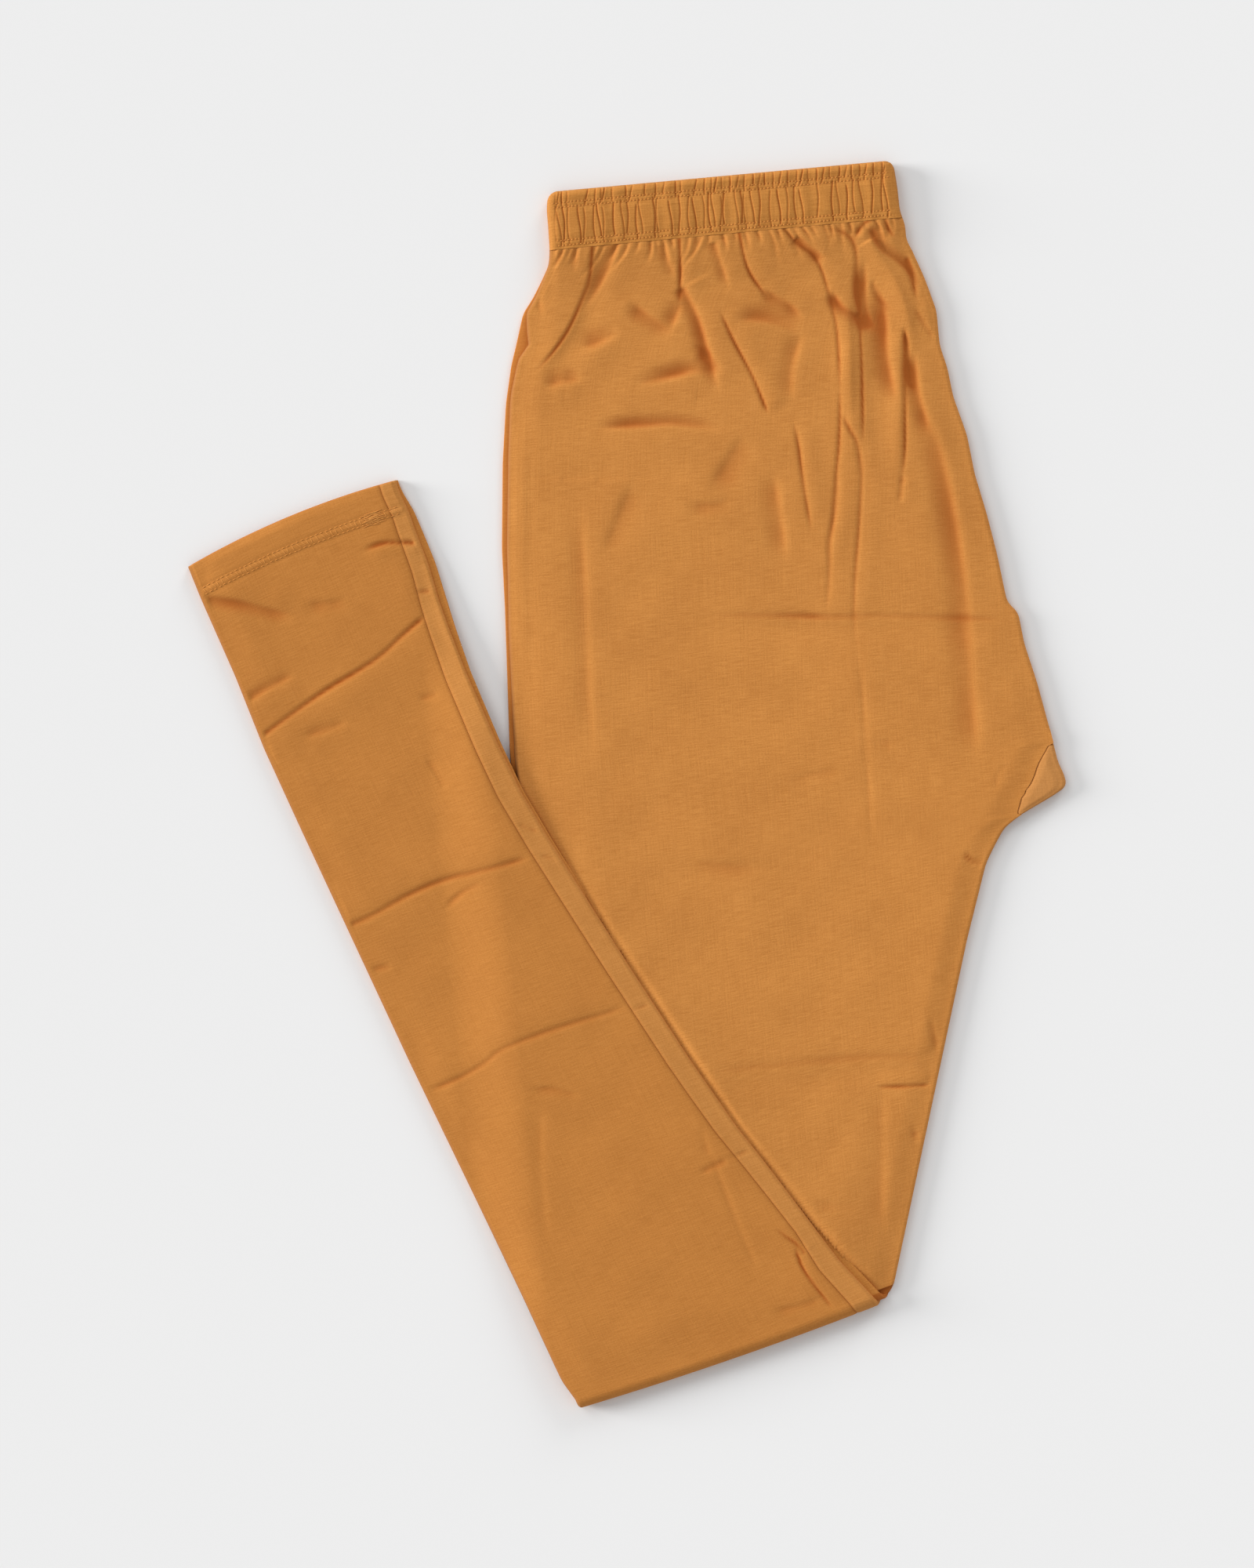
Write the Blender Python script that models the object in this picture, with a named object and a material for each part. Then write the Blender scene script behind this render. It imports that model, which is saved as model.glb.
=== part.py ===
"""Churidar trousers in cotton jersey, folded lengthwise and then folded up at the knee, lying flat.

The folded garment is worked out as one path: down the hip and thigh on the floor, round the
bottom fold, and back up along the shin to the ankle hem. Each point is given by its row, its
distance across the row from the left edge, and its depth in from the outside of the fold.
Sizes are in millimetres until a mesh is made, which is in metres with +Z up.
"""
import math
from collections import namedtuple

import bpy
from mathutils import Vector

METRES_PER_MM = 0.001

CLOTH = 1.0
WAISTBAND_CLOTH = 2.0
CLEARANCE = 0.35
SEAM_GAP = 0.3
STACK = 3.0
WAIST_STACK = 5.0
MAX_WALL = 3.0

WAISTBAND_DEPTH = 30.6
WAIST_SLOPE_END = 62.0
WAIST_CORNER = 5.0
WAIST_GATHERS = 42
WAIST_GATHER_HEIGHT = 0.75
WAIST_CHANNEL = ((0.0, 0.35), (6.0, 0.3), (8.0, 1.0), (22.0, 1.0), (24.5, 0.2), (30.6, 0.3))

HIP_GATHERS = 18
HIP_GATHER_HEIGHT = 0.5
HIP_GATHER_REACH = 34.0
HIP_LOFT = 0.8
SHIN_LOFT = 0.5

SHIN_LEVEL = STACK + CLEARANCE + CLOTH + CLEARANCE
AXIS = (STACK + SHIN_LEVEL) / 2
SLOPE_START = 44.0
SLOPE_LENGTH = 34.0
FOLD_BOW = 1.8
HEM_BOW = -4.0
BOW_REACH = 60.0
OPEN_START = 9.0
OPEN_LENGTH = 14.0
FOLD_ANGLES = (-66.0, -42.0, -14.0, 14.0, 42.0, 66.0)
PANEL_FOLD_START = -42.0
SHIN_COLUMNS = 12
STRIP_COLUMNS = 2
UNDERSIDE_COLUMNS = 10
EDGE_FADE = 9.0
END_FADE = 30.0
CREASE_FADE = 0.6
GUSSET_LOFT = 0.3
ROLL_ROOM = 5.0
EDGE_TUCK = 0.1
ROLL_SHOULDER = 0.3
GATHER_WANDER = 0.35
GATHER_TURN = 2.4
SWELL_TURN = 1.7
SHARP_ANGLE = 42.0
ROW_ROOM = 2.0
HEM_SETBACK = 1.6

# Side of the hidden layers. The bare edge is (inset, share of the stack); the covered edge is
# (inset behind the wall over it, share of the stack).
BARE_EDGE = ((0.6, 0.0), (0.0, 0.18), (0.0, 0.33), (0.5, 0.49))
COVERED_EDGE = ((0.0, 0.51), (0.0, 0.8), (0.75, 1.0))
# Ends of the hidden layers at the waist and the hem: (inset, share of the stack that is there).
LAYER_END = ((0.4, 0.34), (0.0, 0.42), (0.5, 0.485))

# Outlines, each point as (x, y). The hip ones run from the waist to the fold.
HIP_LEFT = (
    (-41.2, 309.0), (-42.0, 299.9), (-41.2, 290.9), (-40.4, 278.6), (-40.8, 271.2), (-44.9, 262.2),
    (-49.0, 254.0), (-54.3, 245.8), (-58.0, 229.0), (-60.5, 218.7), (-63.3, 198.6), (-65.0, 167.9),
    (-65.4, 122.8), (-63.8, 91.6), (-61.3, 16.6), (-26.4, -321.2),
)
HIP_RIGHT = (
    (138.8, 325.6), (141.2, 311.4), (142.5, 299.1), (145.3, 291.7), (145.8, 284.3), (149.0, 278.6),
    (155.6, 264.2), (161.7, 247.4), (163.4, 229.4), (167.5, 217.1), (170.4, 202.7), (177.7, 182.2),
    (181.8, 161.7), (188.0, 141.2), (193.3, 120.7), (198.6, 95.3), (204.4, 89.6), (207.7, 73.2),
    (214.2, 53.5), (221.2, 27.7), (223.0, 20.5), (225.3, 11.3), (228.6, 4.7), (229.8, -1.0),
    (223.7, -5.5), (210.2, -13.5), (207.0, -15.4), (204.4, -17.0), (197.0, -23.2), (191.3, -33.8),
    (187.6, -41.6), (177.7, -81.4), (139.2, -262.6), (136.8, -265.8),
)
# The shin outlines run from the fold to the ankle hem.
SHIN_LEFT = (
    (-27.0, -321.0), (-34.0, -311.4), (-53.9, -268.8), (-113.4, -145.8), (-170.8, -22.8),
    (-189.6, 18.2), (-204.8, 56.4), (-222.4, 96.1), (-229.4, 113.4),
)
SHIN_RIGHT = (
    (131.5, -265.0), (115.0, -247.4), (98.6, -229.8), (82.2, -208.5), (57.6, -177.3), (33.0, -141.7),
    (2.3, -94.5), (-23.6, -53.5), (-39.6, -28.1), (-54.3, -3.1), (-66.2, 22.3), (-81.8, 59.2),
    (-90.0, 83.0), (-100.2, 115.8), (-106.4, 131.0), (-111.3, 142.5), (-117.9, 153.5),
    (-119.9, 158.9),
)

# Spacing of the rows: (distance along the right edge, spacing).
HIP_SPACING = ((0.0, 8.0), (31.0, 7.0), (150.0, 12.0), (320.0, 8.0), (390.0, 22.0), (640.0, 22.0))
SHIN_SPACING = ((0.0, 14.0), (60.0, 20.0), (400.0, 16.0), (500.0, 8.0))

# How far the upper leg's edge lies inside the lower leg's at the hip: (left edge y, distance).
HIP_PEEP = (
    (272.0, 0.0), (246.0, 1.6), (236.0, 4.2), (229.0, 6.5), (222.0, 3.2), (205.0, 2.0),
    (164.0, 2.9), (120.0, 2.6), (82.0, 1.5), (20.0, 2.4), (-60.0, 1.5), (-300.0, 0.5),
)
# Gusset seam: (right edge y, distance of the seam from that edge, roll of the thigh panel there).
GUSSET_SEAM = (
    (36.3, 0.0, 1.0), (27.7, 0.0, 0.0), (23.0, 0.0, 0.0), (20.5, 3.0, 0.0), (11.3, 11.0, 0.0),
    (4.7, 16.5, 0.0), (-1.0, 21.0, 0.0), (-5.5, 18.0, 0.0), (-13.5, 6.4, 0.0), (-15.4, 3.0, 0.0),
    (-17.0, 0.0, 0.0), (-23.2, 0.0, 1.0),
)
GUSSET_LEAST = 2.9
# Shin edge: (distance from the fold, edge of the upper leg inside the lower, inseam from that edge).
SHIN_EDGE = (
    (0.0, 4.0, 12.5), (24.0, 4.0, 12.0), (48.0, 1.5, 10.0), (90.0, 0.9, 11.0), (140.0, 0.9, 12.0),
    (330.0, 1.2, 12.4), (390.0, 2.2, 11.6), (430.0, 3.9, 10.2), (470.0, 3.2, 9.2), (500.0, 0.5, 9.0),
)

# Creases: (from x, from y, via x, via y, to x, to y, width, height); a trough has a negative height.
HIP_CREASES = (
    (-8.0, 278.6, -22.3, 249.1, -47.4, 216.3, 4.5, -1.3),
    (2.0, 277.0, -12.0, 251.0, -34.0, 222.0, 7.0, 0.9),
    (28.1, 281.0, 28.5, 257.3, 44.0, 216.0, 4.0, -1.2),
    (37.0, 281.0, 38.0, 258.0, 52.0, 222.0, 6.0, 0.8),
    (58.4, 286.8, 61.7, 268.3, 74.0, 249.1, 4.0, -1.1),
    (48.6, 245.8, 59.7, 225.3, 72.0, 194.5, 4.5, -1.0),
    (81.8, 288.0, 100.7, 269.6, 113.0, 245.0, 4.5, -1.1),
    (108.0, 290.0, 111.0, 254.0, 114.0, 190.0, 7.0, 1.0),
    (117.1, 290.0, 120.5, 254.0, 122.4, 190.0, 4.5, -1.3),
    (128.0, 292.0, 137.0, 254.0, 140.0, 205.0, 8.0, -1.0),
    (146.0, 270.0, 149.0, 230.0, 152.0, 180.0, 6.0, 0.9),
    (80.2, 190.4, 87.1, 167.9, 99.4, 138.4, 5.0, -0.8),
    (104.3, 150.0, 104.3, 120.0, 104.0, 88.4, 4.5, -0.7),
    (121.6, 180.2, 119.1, 131.0, 119.9, 88.0, 5.0, -0.8),
    (-40.8, 210.1, 0.0, 214.0, 34.0, 216.0, 7.0, -0.6),
    (-12.1, 188.0, 16.6, 184.0, 41.2, 189.0, 7.0, -0.7),
    (177.3, 83.8, 179.0, 49.0, 180.6, 12.1, 7.0, -0.7),
    (20.7, 87.5, 110.0, 87.5, 201.1, 87.9, 6.0, 0.5),
    (41.2, -144.5, 102.7, -142.1, 162.2, -141.7, 8.0, 0.6),
    (123.2, 81.8, 125.3, 16.2, 128.1, -53.5, 5.0, 0.5),
)
SHIN_CREASES = (
    (-191.3, 25.2, -155.6, 49.0, -107.2, 85.9, 8.0, -0.7),
    (-186.0, 40.0, -150.0, 62.0, -112.0, 96.0, 9.0, 0.6),
    (-145.3, -70.7, -98.2, -60.8, -44.9, -37.1, 9.0, -0.6),
    (-139.0, -52.0, -92.0, -44.0, -52.0, -26.0, 10.0, 0.6),
    (-104.3, -160.1, -57.2, -141.4, -16.2, -129.4, 9.0, -0.5),
    (41.2, -205.0, 62.0, -228.0, 82.0, -252.0, 9.0, -0.5),
)

# Base colour and roughness for each piece.
FINISHES = {
    "hidden_layers": ((0.42, 0.20, 0.055), 0.9),
    "waistband": ((0.50, 0.215, 0.05), 0.88),
    "thigh_panel": ((0.57, 0.25, 0.06), 0.85),
    "crotch_gusset": ((0.56, 0.255, 0.065), 0.86),
    "shin_panel": ((0.54, 0.215, 0.048), 0.87),
    "shin_inseam_strip": ((0.55, 0.23, 0.055), 0.84),
}

Row = namedtuple("Row", "left right turn bow")


def blend(first, second, share):
    return first + (second - first) * share


def smooth(share):
    share = min(max(share, 0.0), 1.0)
    return share * share * (3.0 - 2.0 * share)


def lookup(table, key, column=1):
    """Value in a column at a key between the rows; the keys may rise or fall."""
    rows = table if table[0][0] < table[-1][0] else table[::-1]
    if key <= rows[0][0]:
        return rows[0][column]
    for low, high in zip(rows, rows[1:]):
        if key <= high[0]:
            return blend(low[column], high[column], (key - low[0]) / (high[0] - low[0]))
    return rows[-1][column]


def marks(edge):
    """Distance along an edge at each of its points."""
    total = [0.0]
    for here, there in zip(edge, edge[1:]):
        total.append(total[-1] + math.dist(here, there))
    return total


def along(edge, distance):
    """Point at a distance along an edge."""
    spots = marks(edge)
    return tuple(
        lookup([(spot, point[axis]) for spot, point in zip(spots, edge)], distance) for axis in (0, 1)
    )


def stations(edge, spacing):
    """Distances along an edge that pass through all its points, with others spaced between."""
    result = [0.0]
    spots = marks(edge)
    for start, end in zip(spots, spots[1:]):
        steps = max(1, round((end - start) / lookup(spacing, start)))
        result.extend(start + (end - start) * step / steps for step in range(1, steps + 1))
    return result


HIP_LENGTH = marks(HIP_RIGHT)[-1]
SHIN_LENGTH = marks(SHIN_RIGHT)[-1]


def hip_row(station):
    left = along(HIP_LEFT, station / HIP_LENGTH * marks(HIP_LEFT)[-1])
    bow = FOLD_BOW * smooth(1.0 - (HIP_LENGTH - station) / BOW_REACH)
    return Row(left, along(HIP_RIGHT, station), -90.0, bow)


def shin_row(station):
    left = along(SHIN_LEFT, station / SHIN_LENGTH * marks(SHIN_LEFT)[-1])
    bow = FOLD_BOW * smooth(1.0 - station / BOW_REACH)
    bow += HEM_BOW * smooth(1.0 - (SHIN_LENGTH - station) / BOW_REACH)
    return Row(left, along(SHIN_RIGHT, station), 90.0, bow)


def fold_row(turn):
    """Row on the way round the fold, from the end of the thigh to the start of the shin."""
    share = (turn + 90.0) / 180.0
    ends = []
    for thigh, shin in ((HIP_LEFT[-1], SHIN_LEFT[0]), (HIP_RIGHT[-1], SHIN_RIGHT[0])):
        ends.append(tuple(blend(low, high, share) for low, high in zip(thigh, shin)))
    return Row(ends[0], ends[1], turn, FOLD_BOW)


def width_of(row):
    return math.dist(row.left, row.right)


def shin_lift(x, y):
    """Height of the shin's underside: on the floor beside the thigh, and on top of it over it."""
    beyond = x - lookup([(point[1], point[0]) for point in HIP_LEFT], y)
    return SHIN_LEVEL * smooth((beyond + SLOPE_START) / SLOPE_LENGTH)


def place(row, across, depth):
    """Point at a distance across a row and a depth in from the outside of the fold."""
    width = width_of(row)
    step_x = (row.right[0] - row.left[0]) / width
    step_y = (row.right[1] - row.left[1]) / width
    share = across / width
    turn = math.radians(row.turn)
    out = row.bow * 4.0 * share * (1.0 - share) + (AXIS - depth) * math.cos(turn)
    x = row.left[0] + step_x * across + step_y * out
    y = row.left[1] + step_y * across - step_x * out
    z = AXIS + (AXIS - depth) * math.sin(turn)
    if row.turn == 90.0:
        z += shin_lift(x, y) - SHIN_LEVEL
    return (x, y, z)


def stack_at(station):
    """Height of the hidden layers under the hip, thicker at the gathered waist."""
    share = (station - WAISTBAND_DEPTH) / (WAIST_SLOPE_END - WAISTBAND_DEPTH)
    return blend(WAIST_STACK, STACK, smooth(share))


def cover_at(station):
    return WAISTBAND_CLOTH if station < WAISTBAND_DEPTH + SEAM_GAP / 2 else CLOTH


def crease_relief(creases, x, y):
    """Height that the creases add at a point."""
    total = 0.0
    for from_x, from_y, via_x, via_y, to_x, to_y, width, height in creases:
        ends = ((from_x, from_y), (via_x, via_y), (to_x, to_y))
        nearest = math.inf
        for part, (start, end) in enumerate(zip(ends, ends[1:])):
            run_x, run_y = end[0] - start[0], end[1] - start[1]
            share = ((x - start[0]) * run_x + (y - start[1]) * run_y) / (run_x ** 2 + run_y ** 2)
            share = min(max(share, 0.0), 1.0)
            away = math.hypot(x - start[0] - run_x * share, y - start[1] - run_y * share)
            if away < nearest:
                nearest = away
                travelled = (part + share) / 2.0
        fade = 1.0 - CREASE_FADE * travelled
        total += height * fade * math.exp(-(nearest / width) ** 2)
    return total


def open_hip(x, y):
    """One where the thigh panel is open to view, falling to nothing under the folded shin."""
    if y < SHIN_RIGHT[0][1]:
        return 0.0
    beside = x - lookup([(point[1], point[0]) for point in SHIN_RIGHT], y)
    return smooth((beside - OPEN_START) / OPEN_LENGTH)


def stack_side(stack, cover, setback, share=1.0):
    """Side of the hidden layers as (inset, rise), from the bare face to the covered one."""
    wall = cover + CLEARANCE + setback
    side = [*BARE_EDGE, *[(wall + inset, level) for inset, level in COVERED_EDGE]]
    return [(inset, level * stack * share) for inset, level in side]


def wall_side(cloth, stack, setback, roll=1.0, fit=1.0):
    """Edge of a cloth wall as (outer inset, outer rise, inner inset, inner rise), from its end in.

    The roll takes the cloth round the edge of the layers below; without it the edge is flat.
    """
    top = stack + CLEARANCE + cloth
    end = stack / 2 + SEAM_GAP
    radius = cloth + 1.0
    shoulder = ROLL_SHOULDER * radius
    inner_shoulder = cloth + ROLL_SHOULDER
    rolled = (
        (EDGE_TUCK, end, cloth + EDGE_TUCK / 2, end),
        (0.0, top - radius, cloth, top - radius),
        (shoulder, top - shoulder, inner_shoulder, top - inner_shoulder),
        (radius, top, radius, top - cloth),
    )
    flat = [(radius * share, top, radius * share, top - cloth) for share in (0.0, 1 / 3, 2 / 3, 1.0)]
    side = []
    for bent, level in zip(rolled, flat):
        entry = [blend(low, high, roll) for low, high in zip(level, bent)]
        side.append((setback + entry[0] * fit, entry[1], setback + entry[2] * fit, entry[3]))
    return side


def butt_side(cloth, stack, setback):
    """Plain edge where a wall meets the next piece at a seam."""
    top = stack + CLEARANCE + cloth
    return [(setback, top, setback, top - cloth)]


def bridge(faces, near, far):
    """Join two rows, each a list of groups of vertex numbers that share their end vertices."""
    for group, other in zip(near, far):
        if len(group) == len(other):
            for a, b, c, d in zip(group, group[1:], other[1:], other):
                faces.append((a, b, c, d))
        else:
            faces.append(tuple(group) + tuple(reversed(other)))


def ring_of(row_groups):
    """Vertex numbers once round a row of closed groups."""
    return [number for group in row_groups for number in group[:-1]]


def make_solid(name, rows):
    """Closed solid through rows of points; each row is a list of groups that goes once round."""
    points = []
    faces = []
    numbered = []
    for groups in rows:
        first = len(points)
        count = sum(len(group) - 1 for group in groups)
        row = []
        start = first
        for group in groups:
            points.extend(group[:-1])
            numbers = [first + (start - first + step) % count for step in range(len(group))]
            row.append(numbers)
            start += len(group) - 1
        numbered.append(row)
    for near, far in zip(numbered, numbered[1:]):
        bridge(faces, near, far)
    faces.append(tuple(reversed(ring_of(numbered[0]))))
    faces.append(tuple(ring_of(numbered[-1])))
    mesh = bpy.data.meshes.new(name)
    mesh.from_pydata([Vector(point) * METRES_PER_MM for point in points], [], faces)
    mesh.validate()
    if signed_volume(mesh) < 0.0:
        mesh.flip_normals()
    mesh.shade_smooth()
    mesh.set_sharp_from_angle(angle=math.radians(SHARP_ANGLE))
    thing = bpy.data.objects.new(name, mesh)
    bpy.context.scene.collection.objects.link(thing)
    mesh.materials.append(make_material(name))
    return thing


def signed_volume(mesh):
    mesh.calc_loop_triangles()
    total = 0.0
    for triangle in mesh.loop_triangles:
        a, b, c = (mesh.vertices[number].co for number in triangle.vertices)
        total += a.dot(b.cross(c)) / 6.0
    return total


def make_material(name):
    colour, roughness = FINISHES[name]
    material = bpy.data.materials.new(name)
    material.use_nodes = True
    shader = material.node_tree.nodes["Principled BSDF"]
    shader.inputs["Base Color"].default_value = (*colour, 1.0)
    shader.inputs["Roughness"].default_value = roughness
    return material


def shin_columns(row, station):
    """Places across a shin row: start of the panel's flat, the seam and the strip's edge."""
    peep = lookup(SHIN_EDGE, station)
    edge = width_of(row) - peep
    seam = edge - lookup(SHIN_EDGE, station, 2)
    return peep, seam, edge


def panel_places(start, end, count):
    return [blend(start, end, step / count) for step in range(1, count)]


def rounded_corner(inset, station):
    """Inset and station near the waist's square corner, moved onto a round one."""
    if inset >= WAIST_CORNER or station >= WAIST_CORNER:
        return inset, station
    across = 1.0 - inset / WAIST_CORNER
    down = 1.0 - station / WAIST_CORNER
    round_across = across * math.sqrt(1.0 - down * down / 2.0)
    round_down = down * math.sqrt(1.0 - across * across / 2.0)
    return WAIST_CORNER * (1.0 - round_across), WAIST_CORNER * (1.0 - round_down)


def hip_place(station, inset, from_right, depth):
    """Point on a hip row, by its inset from the left or the right edge."""
    inset, station = rounded_corner(inset, station)
    row = hip_row(station)
    return place(row, width_of(row) - inset if from_right else inset, depth)


def hidden_layers():
    """All the layers under the visible ones, as one solid round the fold."""
    rows = []
    wall = WAISTBAND_CLOTH + CLEARANCE
    waist_end = [(wall, 0.51), (wall + EDGE_TUCK, 0.9), (wall + 0.75, 1.0)]
    seam = [(WAISTBAND_DEPTH, 1.0), (WAISTBAND_DEPTH + SEAM_GAP, 1.0)]
    rest = [(spot, 1.0) for spot in stations(HIP_RIGHT, HIP_SPACING)]
    before = [pair for pair in rest if wall + ROW_ROOM < pair[0] < WAISTBAND_DEPTH - ROW_ROOM]
    after = [pair for pair in rest if pair[0] > WAISTBAND_DEPTH + ROW_ROOM]
    for station, share in (*LAYER_END, *waist_end, *before, *seam, *after):
        stack = stack_at(station)
        peep = lookup(HIP_PEEP, hip_row(station).left[1])
        left = stack_side(stack, cover_at(station), peep, share)
        right = stack_side(stack, cover_at(station), 0.0, share)
        left_points = [hip_place(station, inset, False, rise) for inset, rise in left]
        right_points = [hip_place(station, inset, True, rise) for inset, rise in reversed(right)]
        rows.append(closed_groups(left_points, [], right_points, []))
    for turn in FOLD_ANGLES:
        row = fold_row(turn)
        share = min((turn + 90.0) / (PANEL_FOLD_START + 90.0), 1.0)
        peep = lookup(SHIN_EDGE, 0.0)
        lower = stack_side(STACK, CLOTH, 0.0)
        sides = []
        for setback in (0.0, peep):
            upper = [(inset, STACK - rise) for inset, rise in reversed(stack_side(STACK, CLOTH, setback))]
            sides.append([
                (blend(low[0], high[0], share), blend(low[1], high[1], share))
                for low, high in zip(lower, upper)
            ])
        left_points = [place(row, inset, depth) for inset, depth in sides[0]]
        right_points = [place(row, width_of(row) - inset, depth) for inset, depth in reversed(sides[1])]
        rows.append(closed_groups(left_points, [], right_points, []))
    shin_stations = [(spot, 1.0) for spot in stations(SHIN_RIGHT, SHIN_SPACING)[:-1]]
    hem_end = [(HEM_SETBACK, 1.0), (HEM_SETBACK - EDGE_TUCK, 0.51), *reversed(LAYER_END)]
    hem_rows = [(SHIN_LENGTH - inset, share) for inset, share in hem_end]
    for station, share in (*shin_stations, *hem_rows):
        rows.append(shin_layer_row(station, share))
    return make_solid("hidden_layers", rows)


def shin_layer_row(station, share):
    """Hidden layers across the shin, with the same places across as the panel above them."""
    row = shin_row(station)
    width = width_of(row)
    peep, seam, edge = shin_columns(row, station)
    sides = []
    for setback in (0.0, peep):
        side = stack_side(STACK, CLOTH, setback, share)
        sides.append([(inset, STACK - rise) for inset, rise in reversed(side)])
    left_points = [place(row, inset, depth) for inset, depth in sides[0]]
    right_points = [place(row, width - inset, depth) for inset, depth in reversed(sides[1])]
    covered = STACK - STACK * share
    upper = panel_places(CLOTH + 1.0, seam, SHIN_COLUMNS) + [seam]
    upper += panel_places(seam, edge - CLOTH - 1.0, STRIP_COLUMNS)
    top_points = [place(row, across, covered) for across in upper]
    under = [width * step / UNDERSIDE_COLUMNS for step in range(1, UNDERSIDE_COLUMNS)]
    under_points = [place(row, across, STACK) for across in under]
    return closed_groups(left_points, under_points, right_points, list(reversed(top_points)))


def closed_groups(left, inner, right, outer):
    """One row round a stack: up its left side, over the inner face, down the right, and back."""
    return [
        left,
        [left[-1], *inner, right[0]],
        right,
        [right[-1], *outer, left[0]],
    ]


def wall_groups(outer, inner, plain_inside=False, edge_count=4):
    """One row round a cloth wall: along its outside, and back along its inside."""
    if plain_inside:
        inner = inner[:edge_count] + inner[-edge_count:]
    back = list(reversed(inner))
    return [outer, [outer[-1], back[0]], back, [back[-1], outer[0]]]


def thigh_panel():
    """Near leg from the waistband to the fold, with its gathers and creases."""
    rows = []
    spots = [spot for spot in stations(HIP_RIGHT, HIP_SPACING) if spot > WAISTBAND_DEPTH + ROW_ROOM]
    spots = [WAISTBAND_DEPTH + SEAM_GAP] + spots[:-1]
    for station in spots:
        row = hip_row(station)
        width = width_of(row)
        stack = stack_at(station)
        seam = lookup(GUSSET_SEAM, row.right[1])
        joined = seam >= GUSSET_LEAST
        setback = seam + SEAM_GAP / 2 if joined else 0.0
        left = wall_side(CLOTH, stack, lookup(HIP_PEEP, row.left[1]))
        right = wall_side(CLOTH, stack, setback, lookup(GUSSET_SEAM, row.right[1], 2))
        start, end = left[-1][0], width - right[-1][0]
        top = stack + CLEARANCE + CLOTH
        gather = HIP_GATHER_HEIGHT * smooth(1.0 - (station - WAISTBAND_DEPTH) / HIP_GATHER_REACH)
        outer = [place(row, entry[0], entry[1]) for entry in left]
        inner = [place(row, entry[2], entry[3]) for entry in left]
        count = 2 * HIP_GATHERS
        for step, across in enumerate(panel_places(start, end, count), start=1):
            x, y, _ = place(row, across, top)
            edge_fade = smooth(min(across - start, end - across) / EDGE_FADE)
            relief = HIP_LOFT + crease_relief(HIP_CREASES, x, y) + gather * (-1) ** step
            relief = min(max(relief * edge_fade * open_hip(x, y), 0.0), MAX_WALL - CLOTH)
            outer.append((x, y, top + relief))
        outer += [place(row, width - entry[0], entry[1]) for entry in reversed(right)]
        inner += [place(row, width - entry[2], entry[3]) for entry in reversed(right)]
        rows.append(wall_groups(outer, inner, plain_inside=True))
    return make_solid("thigh_panel", rows)


def crotch_gusset():
    """Gusset let in at the crotch, from its seam to the folded edge."""
    rows = []
    for station in stations(HIP_RIGHT, HIP_SPACING):
        row = hip_row(station)
        seam = lookup(GUSSET_SEAM, row.right[1])
        if seam < GUSSET_LEAST:
            continue
        width = width_of(row)
        fit = min(1.0, (seam - SEAM_GAP) / ROLL_ROOM)
        left = butt_side(CLOTH, STACK, width - seam + SEAM_GAP / 2)
        right = wall_side(CLOTH, STACK, 0.0, 1.0, fit)
        middle = blend(left[0][0], width - right[-1][0], 0.5)
        top = STACK + CLEARANCE + CLOTH
        outer = [place(row, left[0][0], top), place(row, middle, top + GUSSET_LOFT)]
        inner = [place(row, left[0][2], top - CLOTH), place(row, middle, top - CLOTH)]
        outer += [place(row, width - entry[0], entry[1]) for entry in reversed(right)]
        inner += [place(row, width - entry[2], entry[3]) for entry in reversed(right)]
        rows.append(wall_groups(outer, inner))
    return make_solid("crotch_gusset", rows)


def shin_rows():
    """Rows that the shin's cloth passes through, as (row, station)."""
    turns = [turn for turn in FOLD_ANGLES if turn >= PANEL_FOLD_START]
    spots = stations(SHIN_RIGHT, SHIN_SPACING)
    return [(fold_row(turn), 0.0) for turn in turns] + [(shin_row(spot), spot) for spot in spots]


def shin_wall_point(row, across, relief):
    return place(row, across, -CLEARANCE - CLOTH - relief)


def shin_panel():
    """Far leg from the fold to the ankle hem, up to its inseam, wrapped round the fold."""
    rows = []
    for row, station in shin_rows():
        _, seam, _ = shin_columns(row, station)
        left = wall_side(CLOTH, STACK, 0.0)
        start = left[-1][0]
        end = seam - SEAM_GAP / 2
        outer = [place(row, entry[0], STACK - entry[1]) for entry in left]
        inner = [place(row, entry[2], STACK - entry[3]) for entry in left]
        end_fade = smooth(min(station, SHIN_LENGTH - station) / END_FADE)
        for across in panel_places(start, seam, SHIN_COLUMNS):
            x, y, _ = shin_wall_point(row, across, 0.0)
            fade = smooth(min(across - start, end - across) / EDGE_FADE) * end_fade
            relief = SHIN_LOFT + crease_relief(SHIN_CREASES, x, y)
            relief = min(max(relief * fade, 0.0), MAX_WALL - CLOTH)
            outer.append(shin_wall_point(row, across, relief))
            inner.append(place(row, across, -CLEARANCE))
        outer.append(shin_wall_point(row, end, 0.0))
        inner.append(place(row, end, -CLEARANCE))
        rows.append(wall_groups(outer, inner))
    return make_solid("shin_panel", rows)


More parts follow.
